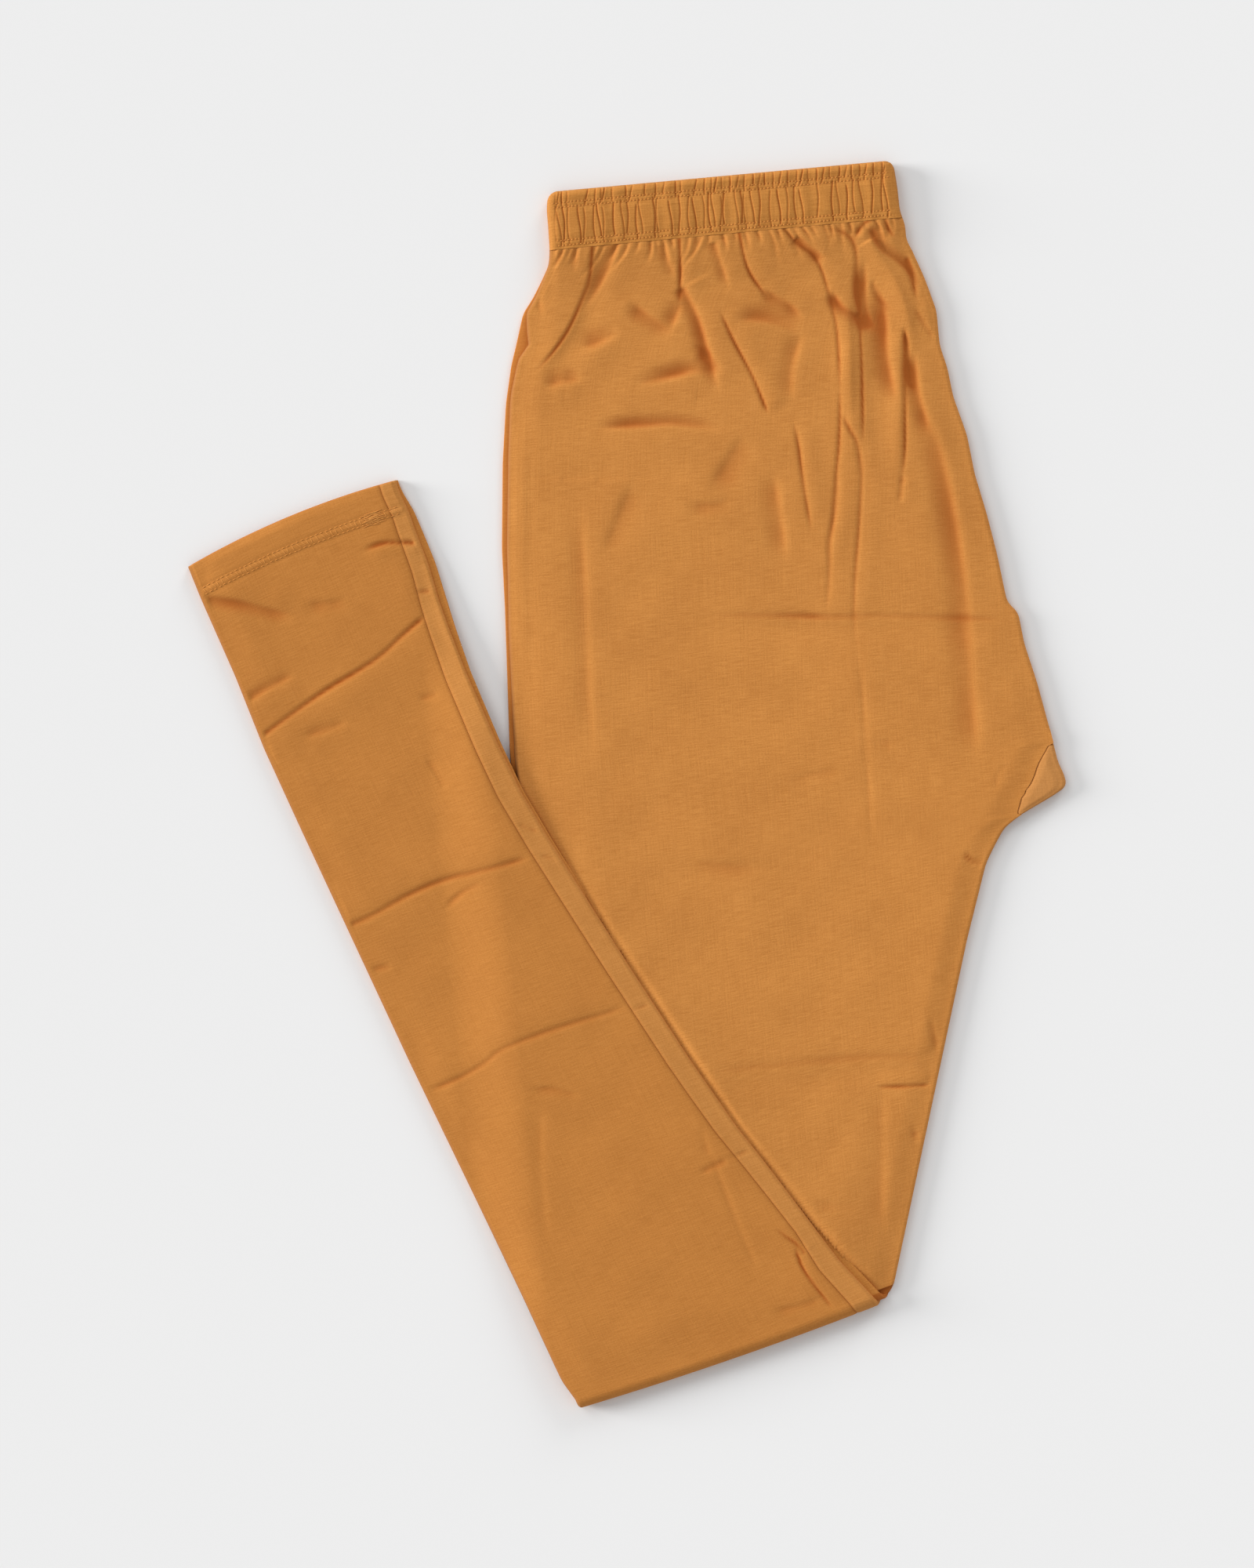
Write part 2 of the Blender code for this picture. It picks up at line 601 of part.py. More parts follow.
def shin_inseam_strip():
    """Far leg beyond its inseam, wrapped round the right edge."""
    rows = []
    for row, station in shin_rows():
        peep, seam, edge = shin_columns(row, station)
        width = width_of(row)
        right = wall_side(CLOTH, STACK, peep)
        places = [seam + SEAM_GAP / 2, *panel_places(seam, edge - CLOTH - 1.0, STRIP_COLUMNS)]
        outer = [shin_wall_point(row, across, 0.0) for across in places]
        inner = [place(row, across, -CLEARANCE) for across in places]
        outer += [place(row, width - entry[0], STACK - entry[1]) for entry in reversed(right)]
        inner += [place(row, width - entry[2], STACK - entry[3]) for entry in reversed(right)]
        rows.append(wall_groups(outer, inner))
    return make_solid("shin_inseam_strip", rows)


def waistband():
    """Gathered elastic casing, rolled over at its top and both ends."""
    radius = WAISTBAND_CLOTH + 1.0
    side = wall_side(WAISTBAND_CLOTH, WAIST_STACK, 0.0)
    plain_rows = (6.0, 8.5, 15.0, 21.5, 24.0, 27.5, WAISTBAND_DEPTH)
    top = WAIST_STACK + CLEARANCE + WAISTBAND_CLOTH
    bands = [*side, *[(spot, top, spot, top - WAISTBAND_CLOTH) for spot in plain_rows]]
    rows = []
    for outer_station, outer_rise, inner_station, inner_rise in bands:
        width = width_of(hip_row(outer_station))
        outer = []
        inner = []
        for entry in side:
            outer.append(hip_place(outer_station, entry[0], False, min(entry[1], outer_rise)))
            inner.append(hip_place(inner_station, entry[2], False, min(entry[3], inner_rise)))
        count = 2 * WAIST_GATHERS
        swell = WAIST_GATHER_HEIGHT * lookup(WAIST_CHANNEL, outer_station)
        if outer_station < radius:
            swell *= 0.5
        for step in range(1, count):
            wander = GATHER_WANDER * math.sin(GATHER_TURN * step) * (step % 2)
            across = blend(radius, width - radius, (step + wander) / count)
            fade = smooth(min(across - radius, width - radius - across) / EDGE_FADE)
            lift = swell * (step % 2) * fade * (0.75 + 0.25 * math.sin(SWELL_TURN * step))
            far_side = across > width / 2
            inset = width - across if far_side else across
            outer.append(hip_place(outer_station, inset, far_side, outer_rise + lift))
        for entry in reversed(side):
            outer.append(hip_place(outer_station, entry[0], True, min(entry[1], outer_rise)))
            inner.append(hip_place(inner_station, entry[2], True, min(entry[3], inner_rise)))
        rows.append(wall_groups(outer, inner))
    return make_solid("waistband", rows)


def settle(things):
    """Move the meshes together so that the origin is the bottom centre of their box."""
    corners = [vertex.co for thing in things for vertex in thing.data.vertices]
    low = Vector([min(corner[axis] for corner in corners) for axis in range(3)])
    high = Vector([max(corner[axis] for corner in corners) for axis in range(3)])
    shift = Vector(((low.x + high.x) / 2, (low.y + high.y) / 2, low.z))
    for thing in things:
        for vertex in thing.data.vertices:
            vertex.co -= shift
        thing.data.update()


for leftover in list(bpy.data.objects):
    bpy.data.objects.remove(leftover, do_unlink=True)

settle([
    hidden_layers(),
    waistband(),
    thigh_panel(),
    crotch_gusset(),
    shin_panel(),
    shin_inseam_strip(),
])
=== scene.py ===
import math
from collections import namedtuple

import bpy
import numpy as np
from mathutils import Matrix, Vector


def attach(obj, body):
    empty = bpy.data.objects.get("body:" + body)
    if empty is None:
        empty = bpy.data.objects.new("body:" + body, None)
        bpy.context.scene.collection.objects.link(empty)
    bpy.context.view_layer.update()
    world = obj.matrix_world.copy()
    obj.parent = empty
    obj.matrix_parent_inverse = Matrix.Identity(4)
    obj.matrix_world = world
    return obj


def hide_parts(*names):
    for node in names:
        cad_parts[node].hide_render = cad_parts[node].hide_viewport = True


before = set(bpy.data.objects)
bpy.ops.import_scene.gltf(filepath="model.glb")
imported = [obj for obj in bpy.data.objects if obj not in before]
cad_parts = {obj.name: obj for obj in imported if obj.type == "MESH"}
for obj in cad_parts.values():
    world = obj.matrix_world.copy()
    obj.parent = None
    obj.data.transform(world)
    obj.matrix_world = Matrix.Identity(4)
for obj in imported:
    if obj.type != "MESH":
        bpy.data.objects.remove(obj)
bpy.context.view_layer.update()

METRES_PER_MM = 0.001
# Middle of the part's box, from the middle of the photographed field.
MIDDLE_X = 0.2
MIDDLE_Y = -0.114

# Cloth, the gaps between layers, the stacks of hidden layers, and the ways round the fold and the hem.
CLOTH = 1.0
WAISTBAND_CLOTH = 2.0
CLEARANCE = 0.35
SEAM_GAP = 0.3
SEAM_JOIN = 0.12
STACK = 3.0
WAIST_STACK = 5.0
WAISTBAND_DEPTH = 30.6
WAIST_SLOPE_END = 62.0
WAIST_CORNER = 5.0
LAYER_TOP = STACK + CLEARANCE + CLOTH
BAND_TOP = WAIST_STACK + CLEARANCE + WAISTBAND_CLOTH
SHIN_LEVEL = LAYER_TOP + CLEARANCE
SHIN_FACE = -CLEARANCE - CLOTH
AXIS = (STACK + SHIN_LEVEL) / 2
ROLL_RADIUS = CLOTH + 1.0
BAND_ROLL_RADIUS = WAISTBAND_CLOTH + 1.0
LIP = 1.0
SLOPE_START = 44.0
SLOPE_LENGTH = 34.0
FOLD_BOW = 1.8
HEM_BOW = -4.0
BOW_REACH = 60.0
PANEL_FOLD_START = -42.0
GUSSET_REACH = (300.0, 380.0)
GUSSET_LEAST = 2.9
GUSSET_EASE = 5.0
GUSSET_SWELL = 0.5
COVERED_DEPTH = 16.0
HEM_DEPTH = 18.5
HEM_RISE = 0.35

# How fine the outlines and meshes are.
EDGE_STEP = 0.5
EDGE_SOFTENING = 6
CREASE_SUBDIVISIONS = 2
ROLL_STEPS = 6
SHARP_ANGLE = 75.0
THIGH_COLUMNS = 232
SHIN_COLUMNS = 148
STRIP_COLUMNS = 14
GUSSET_COLUMNS = 23
BAND_COLUMNS = 540
LAYER_COLUMNS = 24
SHIN_STEP = 1.1
GUSSET_STEP = 0.6
BAND_STEP = 0.45
LAYER_STEP = 2.0
TURN_STEP = 6.0

# Loft of the cloth, its deepest trough, and how far in from an edge or the fold both are whole.
HIP_LOFT = 0.9
SHIN_LOFT = 0.7
DEEPEST = 1.15
EDGE_FADE = 15.0
WAIST_EDGE_FADE = 3.0
EDGE_FADE_CHANGE = 40.0
CREASE_EDGE_FADE = 2.5
FOLD_FADE = 26.0
CREASE_FOLD_FADE = 5.0
HEM_FADE = 5.0
OPEN_LENGTH = 4.5

# Creases: share of the swell, unevenness of the two sides of a soft one, and the shade painted in it.
SWELL = 0.6
CREASE_UNEVENNESS = 0.2
SOFT_WIDTH = 2.0
STEEP_SIDE = 0.65
GENTLE_SIDE = 1.6
SOFT_SHADE = 0.42
LEAST_LINE = 0.75

# Below the waistband: creases held at their least share, and the way to full loft.
SEAM_HOLD = 7.0
HELD_SHARE = 0.2
LOFT_LENGTH = 12.0
TUCK_DEPTH = 0.8
TUCK_SWAY = 0.5

# The thigh's cloth beside the shin: its rise, how far it reaches, and the painted shade of the line between
# the two.
PUSHED_RISE = 4.0
PUSHED_LENGTH = 38.0
PUSHED_FADE = 42.0
PUSHED_LEAST = 0.85
PUSHED_EASE = 3.0
TUCKED_UNDER = 2.3
LINE_SHADE = 0.2
LINE_WIDTH = 2.2

# Seams, and shade painted along seams, on dark sides, under walls and in hollows.
SEAM_DIP = 0.35
SEAM_WIDTH = 0.8
SEAM_SHADE = 0.45
SHIN_SEAM_SHADE = 0.4
EDGE_SHADE = 0.9
FAR_EDGE_SHADE = 0.2
LAYER_SHADE = 0.35
UNDER_SHADE = 0.3
FAR_UNDER_SHADE = 0.1
FOLD_HOLLOW_SHADE = 0.55
HOLLOW_LENGTH = 10.0
FOLD_SHADE_LENGTH = 9.0

# Colours of the shade painted in the deepest creases and on the rims, the light all round, and the camera,
# in metres.
PAINTED_CREASE_SHADE = (0.36, 0.075, 0.006)
PAINTED_RIM_SHADE = (0.25, 0.098, 0.03)
WORLD_LIGHT = 0.53
CAMERA_HEIGHT = 2.4
FIELD_HEIGHT = 0.82

# Outlines, each point as (x, y). The hip ones run from the waist to the fold.
HIP_LEFT = (
    (-41.2, 309.0), (-42.0, 299.9), (-41.2, 290.9), (-40.4, 278.6), (-40.8, 271.2), (-44.9, 262.2),
    (-49.0, 254.0), (-54.3, 245.8), (-58.0, 229.0), (-60.5, 218.7), (-63.3, 198.6), (-65.0, 167.9),
    (-65.4, 122.8), (-63.8, 91.6), (-61.3, 16.6), (-26.4, -321.2),
)
HIP_RIGHT = (
    (138.8, 325.6), (141.2, 311.4), (142.5, 299.1), (145.3, 291.7), (145.8, 284.3), (149.0, 278.6),
    (155.6, 264.2), (161.7, 247.4), (163.4, 229.4), (167.5, 217.1), (170.4, 202.7), (177.7, 182.2),
    (181.8, 161.7), (188.0, 141.2), (193.3, 120.7), (198.6, 95.3), (204.4, 89.6), (207.7, 73.2),
    (214.2, 53.5), (221.2, 27.7), (223.0, 20.5), (225.3, 11.3), (228.6, 4.7), (229.8, -1.0),
    (223.7, -5.5), (210.2, -13.5), (207.0, -15.4), (204.4, -17.0), (197.0, -23.2), (191.3, -33.8),
    (187.6, -41.6), (177.7, -81.4), (139.2, -262.6), (136.8, -265.8),
)
# The shin outlines run from the fold to the ankle hem.
SHIN_LEFT = (
    (-27.0, -321.0), (-34.0, -311.4), (-53.9, -268.8), (-113.4, -145.8), (-170.8, -22.8),
    (-189.6, 18.2), (-204.8, 56.4), (-222.4, 96.1), (-229.4, 113.4),
)
SHIN_RIGHT = (
    (131.5, -265.0), (115.0, -247.4), (98.6, -229.8), (82.2, -208.5), (57.6, -177.3), (33.0, -141.7),
    (2.3, -94.5), (-23.6, -53.5), (-39.6, -28.1), (-54.3, -3.1), (-66.2, 22.3), (-81.8, 59.2),
    (-90.0, 83.0), (-100.2, 115.8), (-106.4, 131.0), (-111.3, 142.5), (-117.9, 153.5),
    (-119.9, 158.9),
)

# How far the upper leg's edge lies inside the lower leg's at the hip: (left edge y, distance).
HIP_PEEP = (
    (272.0, 0.0), (246.0, 1.6), (236.0, 4.2), (229.0, 6.5), (222.0, 3.2), (205.0, 2.0),
    (164.0, 2.9), (120.0, 2.6), (82.0, 1.5), (20.0, 2.4), (-60.0, 1.5), (-300.0, 0.5),
)
# Gusset seam: (right edge y, distance of the seam from that edge, roll of the thigh's cloth there).
GUSSET_SEAM = (
    (36.3, 0.0, 1.0), (27.7, 0.0, 0.0), (23.0, 0.0, 0.0), (20.5, 3.0, 0.0), (11.3, 11.0, 0.0),
    (4.7, 16.5, 0.0), (-1.0, 21.0, 0.0), (-5.5, 18.0, 0.0), (-13.5, 6.4, 0.0), (-15.4, 3.0, 0.0),
    (-17.0, 0.0, 0.0), (-23.2, 0.0, 1.0),
)
# Shin edge: (distance from the fold, edge of the upper leg inside the lower, inseam from that edge).
SHIN_EDGE = (
    (0.0, 4.0, 12.5), (24.0, 4.0, 12.0), (48.0, 1.5, 10.0), (90.0, 0.9, 11.0), (140.0, 0.9, 12.0),
    (330.0, 1.2, 12.4), (390.0, 2.2, 11.6), (430.0, 3.9, 10.2), (470.0, 3.2, 9.2), (500.0, 0.5, 9.0),
)

# Side of the hidden layers: (inset, share of the stack), bare below and covered by a wall above.
BARE_SIDE = (
    (0.6, 0.0), (0.12, 0.07), (0.0, 0.18), (0.14, 0.31), (0.4, 0.37), (0.12, 0.43), (0.0, 0.55),
    (0.14, 0.67), (0.5, 0.73),
)
COVERED_SIDE = ((0.0, 0.76), (0.0, 0.9), (0.75, 1.0))
# Ends of the hidden layers at the waist and the hem: (inset, share of the stack that is there).
LAYER_END = ((0.4, 0.34), (0.0, 0.42), (0.5, 0.485))
# The same above it: under the waistband, with the inset from its wall, and at the hem.
WAIST_LAYER_END = ((0.0, 0.51), (0.1, 0.9), (0.75, 1.0))
HEM_LAYER_END = ((1.6, 1.0), (1.5, 0.51))
# Way over the shin's hem: (distance from the end, drop).
HEM_EDGE = ((1.0, 0.0), (0.55, 0.1), (0.2, 0.3), (0.0, 0.65), (0.1, 0.95), (0.9, 1.0))

# Creases: (depth, width, swell, reach of the swell, fade in, fade out, path). The swell lies beside
# the crease, to the left of the path's run, or to its right where its reach is negative. The fades
# are shares of the length.
HIP_CREASES = (
    (1.2, 0.9, -1.3, 6.0, 0.0, 0.25, ((-18, 285), (-19, 264), (-23, 254), (-29, 240), (-35, 230),
                                      (-43, 220), (-51, 213))),
    (1.2, 2.4, 0.5, 6.0, 0.0, 0.5, ((-4, 285), (-11, 268), (-19, 254), (-27, 242))),
    (1.3, 0.9, 0.9, 5.0, 0.0, 0.15, ((27, 286), (28, 266), (27, 250))),
    (1.6, 2.4, 1.1, 7.0, 0.05, 0.3, ((28, 260), (36, 245), (40, 231), (43, 221), (46, 209), (49, 203))),
    (1.1, 3.0, 0.0, 1.0, 0.2, 0.5, ((28, 252), (23, 241), (21, 233))),
    (1.2, 0.9, 0.9, 6.0, 0.0, 0.3, ((58, 290), (61, 274), (64, 266), (70, 258), (76, 249))),
    (1.2, 2.4, 0.6, 5.0, 0.3, 0.4, ((69, 259), (78, 253), (86, 249), (93, 240))),
    (1.2, 0.9, 1.0, 6.0, 0.15, 0.12, ((48, 248), (54, 234), (60, 223), (66, 212), (70, 202), (74, 192))),
    (0.7, 3.0, 0.0, 1.0, 0.3, 0.4, ((38, 228), (44, 222), (49, 212))),
    (0.9, 0.9, 0.8, 6.0, 0.0, 0.3, ((81, 290), (90, 281), (97, 277), (102, 268), (107, 250), (110, 236),
                                    (111, 212), (111, 196))),
    (0.9, 0.9, 0.6, 6.0, 0.15, 0.3, ((111, 210), (111, 180), (109, 160), (106, 122))),
    (1.2, 2.2, 0.3, 4.0, 0.0, 0.3, ((88, 285), (96, 279), (104, 272))),
    (1.8, 2.2, 0.0, 1.0, 0.2, 0.2, ((106, 258), (111, 249), (118, 245), (129, 238))),
    (1.1, 1.2, -0.6, 5.0, 0.1, 0.2, ((106, 290), (115, 287), (119, 281), (120, 272), (119, 259),
                                     (121, 245))),
    (1.1, 0.9, -0.9, 8.0, 0.2, 0.2, ((120, 270), (121, 250), (122, 232), (123, 200), (123, 172))),
    (1.7, 2.4, 0.0, 1.0, 0.4, 0.3, ((124, 276), (123, 256), (125, 243), (131, 234))),
    (1.9, 3.2, 0.0, 1.0, 0.3, 0.35, ((130, 262), (134, 244), (134, 226), (137, 210), (141, 196))),
    (-0.9, 4.0, 0.0, 1.0, 0.2, 0.4, ((115, 258), (116, 230), (117, 175))),
    (-0.9, 4.0, 0.0, 1.0, 0.0, 0.4, ((127, 284), (138, 266), (146, 248), (151, 220))),
    (1.4, 1.2, 0.6, 3.0, 0.0, 0.5, ((127, 295), (121, 290), (118, 282))),
    (1.2, 1.0, 0.5, -3.0, 0.0, 0.3, ((134, 298), (136, 289), (141, 284))),
    (1.6, 2.2, 0.6, -5.0, 0.1, 0.4, ((126, 292), (131, 280), (141, 274), (147, 269), (155, 255))),
    (0.9, 1.5, 0.4, -3.0, 0.2, 0.3, ((128, 264), (130, 255), (135, 250), (139, 246))),
    (0.7, 1.4, 0.4, 3.0, 0.2, 0.3, ((149, 250), (156, 238), (163, 230))),
    (1.1, 1.0, 0.6, -4.0, 0.1, 0.3, ((145, 238), (145, 214), (145, 190), (145, 170), (142, 152))),
    (1.2, 1.0, 0.5, -4.0, 0.2, 0.2, ((144, 240), (147, 224), (147, 210), (151, 204))),
    (1.6, 2.8, 0.0, 1.0, 0.25, 0.3, ((149, 228), (150, 208), (154, 194), (158, 180))),
    (1.1, 1.1, 0.6, 4.0, 0.1, 0.4, ((146, 276), (149, 263), (152, 249))),
    (0.8, 1.2, 0.4, -3.0, 0.2, 0.4, ((156, 257), (161, 248), (163, 229))),
    (1.0, 1.0, 0.7, 5.0, 0.2, 0.3, ((86, 192), (89, 181), (91, 164), (94, 144), (97, 128))),
    (1.0, 1.1, 0.6, 5.0, 0.2, 0.4, ((112, 194), (116, 185), (121, 177), (122, 158))),
    (0.7, 1.2, 0.5, 5.0, 0.2, 0.2, ((109, 168), (110, 147), (105, 127), (106, 114), (104, 88))),
    (0.8, 1.0, 0.5, 6.0, 0.1, 0.4, ((123, 172), (121, 133), (119, 110), (118, 82), (121, 62))),
    (0.35, 1.4, 0.3, 6.0, 0.3, 0.4, ((119, 78), (123, 49), (125, 8), (129, -45))),
    (0.7, 1.3, 0.4, 4.0, 0.2, 0.4, ((144, 162), (142, 145))),
    (1.2, 4.6, 0.0, 1.0, 0.2, 0.4, ((154, 198), (162, 174), (167, 152), (171, 130), (176, 95), (180, 55))),
    (0.7, 5.5, 0.5, 9.0, 0.3, 0.3, ((170, 102), (177, 69), (179, 41), (182, 5))),
    (0.7, 1.4, -0.6, -6.0, 0.2, 0.1, ((29, 88), (82, 88), (103, 87), (133, 88), (164, 87), (199, 86))),
    (0.7, 1.2, 0.0, 1.0, 0.4, 0.4, ((76, 88), (94, 88), (108, 87))),
    (1.5, 3.0, 0.5, -8.0, 0.4, 0.4, ((2, 208), (12, 211), (25, 214), (37, 217), (46, 213))),
    (1.0, 3.4, 0.5, -6.0, 0.4, 0.4, ((-45, 207), (-35, 211), (-22, 212))),
    (1.0, 4.0, 0.5, -6.0, 0.4, 0.4, ((-28, 228), (-15, 231), (-3, 238))),
    (1.5, 2.4, 0.6, -8.0, 0.3, 0.5, ((-20, 186), (-4, 187), (12, 188), (27, 189), (56, 184))),
    (1.2, 3.2, 0.6, -6.0, 0.3, 0.4, ((54, 242), (66, 244), (78, 242), (92, 235))),
    (1.2, 3.2, 0.0, 1.0, 0.3, 0.5, ((-1, 252), (10, 244), (18, 238), (25, 232))),
    (0.9, 2.0, 0.0, 1.0, 0.4, 0.4, ((33, 229), (40, 227), (45, 219))),
    (0.8, 3.4, 0.5, 6.0, 0.4, 0.4, ((93, 240), (87, 226), (84, 210), (86, 196))),
    (0.8, 1.6, 0.5, 4.0, 0.0, 0.5, ((-27, 280), (-28, 266))),
    (0.8, 1.3, 0.5, 3.0, 0.2, 0.4, ((-46, 265), (-47, 253), (-44, 243))),
    (0.9, 2.0, 0.7, 5.0, 0.0, 0.5, ((45, 282), (54, 255))),
    (0.8, 2.0, 0.5, 4.0, 0.0, 0.5, ((18, 281), (25, 262))),
    (0.8, 5.0, 0.0, 1.0, 0.4, 0.4, ((42, 150), (52, 165), (63, 184))),
    (0.5, 4.5, 0.3, 8.0, 0.3, 0.4, ((-12, 118), (-4, 138), (6, 162))),
    (-0.4, 5.0, 0.0, 1.0, 0.2, 0.3, ((-53, 205), (-55, 160), (-55, 100), (-53, 40))),
    (0.4, 2.0, 0.0, 1.0, 0.4, 0.4, ((127, 24), (142, 20))),
    (0.4, 2.2, 0.0, 1.0, 0.4, 0.4, ((82, 1), (101, 7), (117, 6))),
    (1.0, 1.2, 0.0, 1.0, 0.2, 0.1, ((175, -35), (179, -40), (185, -41.5), (192, -41.5))),
    (0.7, 3.0, 0.0, 1.0, 0.4, 0.4, ((29, 147), (43, 144), (56, 149))),
    (0.8, 4.0, 0.4, 8.0, 0.3, 0.4, ((75, 165), (79, 140), (82, 112))),
    (0.6, 1.8, -0.8, -8.0, 0.2, 0.15, ((39, -150), (74, -147), (115, -143), (136, -142), (163, -142))),
    (1.0, 1.0, 0.5, 4.0, 0.2, 0.15, ((129, -158), (136, -158), (142, -158), (159, -157))),
    (0.7, 1.6, 0.4, -4.0, 0.3, 0.3, ((158, -122), (162, -142))),
    (0.8, 1.6, 0.0, 1.0, 0.4, 0.4, ((147, -179), (153, -187))),
    (0.35, 4.5, 0.3, 8.0, 0.2, 0.3, ((133, -155), (132, -205), (133, -251))),
    (0.4, 2.5, 0.0, 1.0, 0.4, 0.4, ((92, -218), (110, -220), (123, -220))),
    (0.5, 4.0, 0.3, 8.0, 0.3, 0.4, ((-26, 158), (-23, 106), (-21, 49), (-18, 0))),
    (0.5, 4.0, 0.0, 1.0, 0.4, 0.4, ((21, -39), (54, -44), (82, -43))),
    (0.3, 1.2, 0.0, 1.0, 0.3, 0.3, ((193, -6), (193, 8), (203, 9))),
)
SHIN_CREASES = (
    (1.3, 1.2, 0.7, -8.0, 0.0, 0.05, ((-192, 24), (-173, 38), (-156, 50), (-142, 58), (-128, 67),
                                      (-118, 77), (-105, 88))),
    (0.9, 2.0, 0.5, -6.0, 0.05, 0.3, ((-203, 41), (-186, 51), (-172, 58))),
    (1.6, 1.1, 0.6, -4.0, 0.3, 0.05, ((-140, 121), (-128, 126), (-118, 126), (-106, 126))),
    (1.3, 2.4, 0.8, 7.0, 0.1, 0.3, ((-222, 97), (-204, 95), (-190, 91), (-172, 87))),
    (0.7, 2.8, 0.0, 1.0, 0.4, 0.4, ((-171, 93), (-156, 94), (-144, 96))),
    (0.6, 2.2, 0.4, -6.0, 0.3, 0.3, ((-172, 24), (-157, 28), (-144, 33))),
    (0.6, 1.8, 0.0, 1.0, 0.3, 0.3, ((-110, 44), (-98, 47))),
    (1.1, 1.3, 0.7, 9.0, 0.0, 0.1, ((-148, -75), (-133, -69), (-115, -58), (-94, -49), (-74, -45),
                                    (-50, -38))),
    (0.7, 1.6, 0.0, 1.0, 0.3, 0.3, ((-97, -67), (-86, -56), (-74, -51))),
    (0.7, 1.6, 0.0, 1.0, 0.3, 0.3, ((-136, -97), (-129, -96), (-122, -95))),
    (0.8, 1.3, 0.4, 8.0, 0.1, 0.1, ((-106, -161), (-88, -154), (-73, -145), (-67, -139), (-53, -133),
                                    (-33, -126), (-12, -120), (2, -115))),
    (0.6, 2.0, 0.0, 1.0, 0.3, 0.3, ((-53, -160), (-41, -158), (-23, -163))),
    (0.25, 3.4, 0.15, 7.0, 0.2, 0.3, ((-45, -164), (-46, -201), (-41, -242))),
    (0.3, 2.0, 0.0, 1.0, 0.3, 0.3, ((39, -177), (43, -198))),
    (0.7, 1.6, 0.0, 1.0, 0.3, 0.3, ((37, -203), (54, -195))),
    (0.9, 0.9, 0.4, 4.0, 0.3, 0.05, ((77, -231), (83, -236), (89, -240), (93, -245))),
    (1.1, 0.8, 0.4, 5.0, 0.15, 0.45, ((87, -240), (90, -249), (93, -255), (99, -263), (106, -272),
                                      (112, -278))),
    (0.5, 2.0, 0.0, 1.0, 0.3, 0.3, ((74, -275), (90, -272), (104, -267))),
    (0.3, 1.8, 0.2, 4.0, 0.2, 0.2, ((41, -186), (56, -226), (69, -256))),
    (0.4, 2.2, 0.0, 1.0, 0.3, 0.3, ((-94, -4), (-106, 16))),
    (0.9, 1.1, 0.0, 1.0, 0.3, 0.3, ((-111, 100), (-101, 101))),
    (0.5, 1.0, 0.0, 1.0, 0.2, 0.2, ((-57, -21), (-46, -25))),
    (0.5, 1.0, 0.0, 1.0, 0.2, 0.2, ((-46, -37), (-34, -40))),
    (0.5, 1.0, 0.0, 1.0, 0.2, 0.2, ((2, -118), (14, -114))),
    (0.5, 1.0, 0.0, 1.0, 0.2, 0.2, ((52, -196), (65, -190))),
)

# Tucks below the waistband seam: (distance across, length, lean to the right).
HIP_TUCKS = (
    (2.0, 6.0, -0.1), (6.5, 15.0, -0.4), (10.3, 8.0, -0.3), (14.2, 12.0, -0.2), (24.4, 9.0, -0.2),
    (28.7, 22.0, -0.5), (35.5, 13.0, -0.5), (40.7, 18.0, -0.4), (45.8, 8.0, -0.1), (52.6, 14.0, 0.1),
    (56.0, 9.0, 0.2), (59.5, 19.0, 0.3), (63.7, 7.0, 0.2), (72.3, 17.0, -0.1), (76.6, 10.0, -0.2),
    (79.0, 21.0, -0.3), (83.4, 9.0, 0.0), (91.0, 12.0, 0.3), (97.0, 8.0, 0.2), (102.0, 13.0, 0.3),
    (108.0, 9.0, 0.4), (114.0, 25.0, 0.6), (119.0, 10.0, 0.5), (123.6, 22.0, 0.7), (128.0, 10.0, 0.5),
    (132.0, 13.0, 0.7), (136.0, 9.0, 0.6), (143.0, 17.0, 0.5), (146.6, 12.0, 0.4), (150.0, 22.0, 0.5),
    (152.6, 9.0, 0.3), (157.0, 12.0, 0.2), (163.7, 16.0, 0.5), (169.7, 26.0, 0.6), (175.0, 18.0, 0.4),
    (179.5, 10.0, 0.3),
)
# Gather grooves across the waistband, as distances from its left edge.
CHANNEL_GROOVES = (
    4.1, 5.8, 8.2, 10.7, 16.5, 18.9, 24.3, 26.8, 28.8, 34.6, 39.1, 41.6, 46.5, 48.6, 55.6, 57.2, 64.2,
    68.8, 73.7, 76.6, 81.5, 84.4, 86.5, 90.6, 92.2, 98.8, 101.3, 102.9, 107.0, 110.7, 116.5, 121.0,
    125.2, 129.3, 132.6, 141.2, 149.0, 151.9, 156.4, 160.1, 163.9, 169.6,
)
FRILL_GROOVES = (
    3.7, 5.8, 8.2, 9.9, 20.2, 25.1, 27.6, 29.6, 34.6, 40.8, 43.6, 51.0, 56.0, 60.9, 67.9, 69.6, 77.4,
    82.3, 85.2, 88.1, 92.0, 95.6, 99.5, 103.2, 107.0, 111.0, 114.4, 118.2, 122.0, 126.0, 129.8, 133.0,
    137.0, 141.0, 144.6, 148.0, 152.2, 156.0, 159.7, 163.5, 167.0, 171.0,
)
BAND_SEAMS = (175.0, 176.8)
# Zones of the waistband: (places of the grooves, first station, last station, depth).
BAND_ZONES = (
    (CHANNEL_GROOVES, 8.0, 29.0, 0.55), (FRILL_GROOVES, -3.0, 8.8, 0.55), (BAND_SEAMS, -2.0, 30.0, 0.7),
)
GROOVE_WIDTH = 0.42
GROOVE_SHORTEST = 0.15
GROOVE_SHADE = 0.85
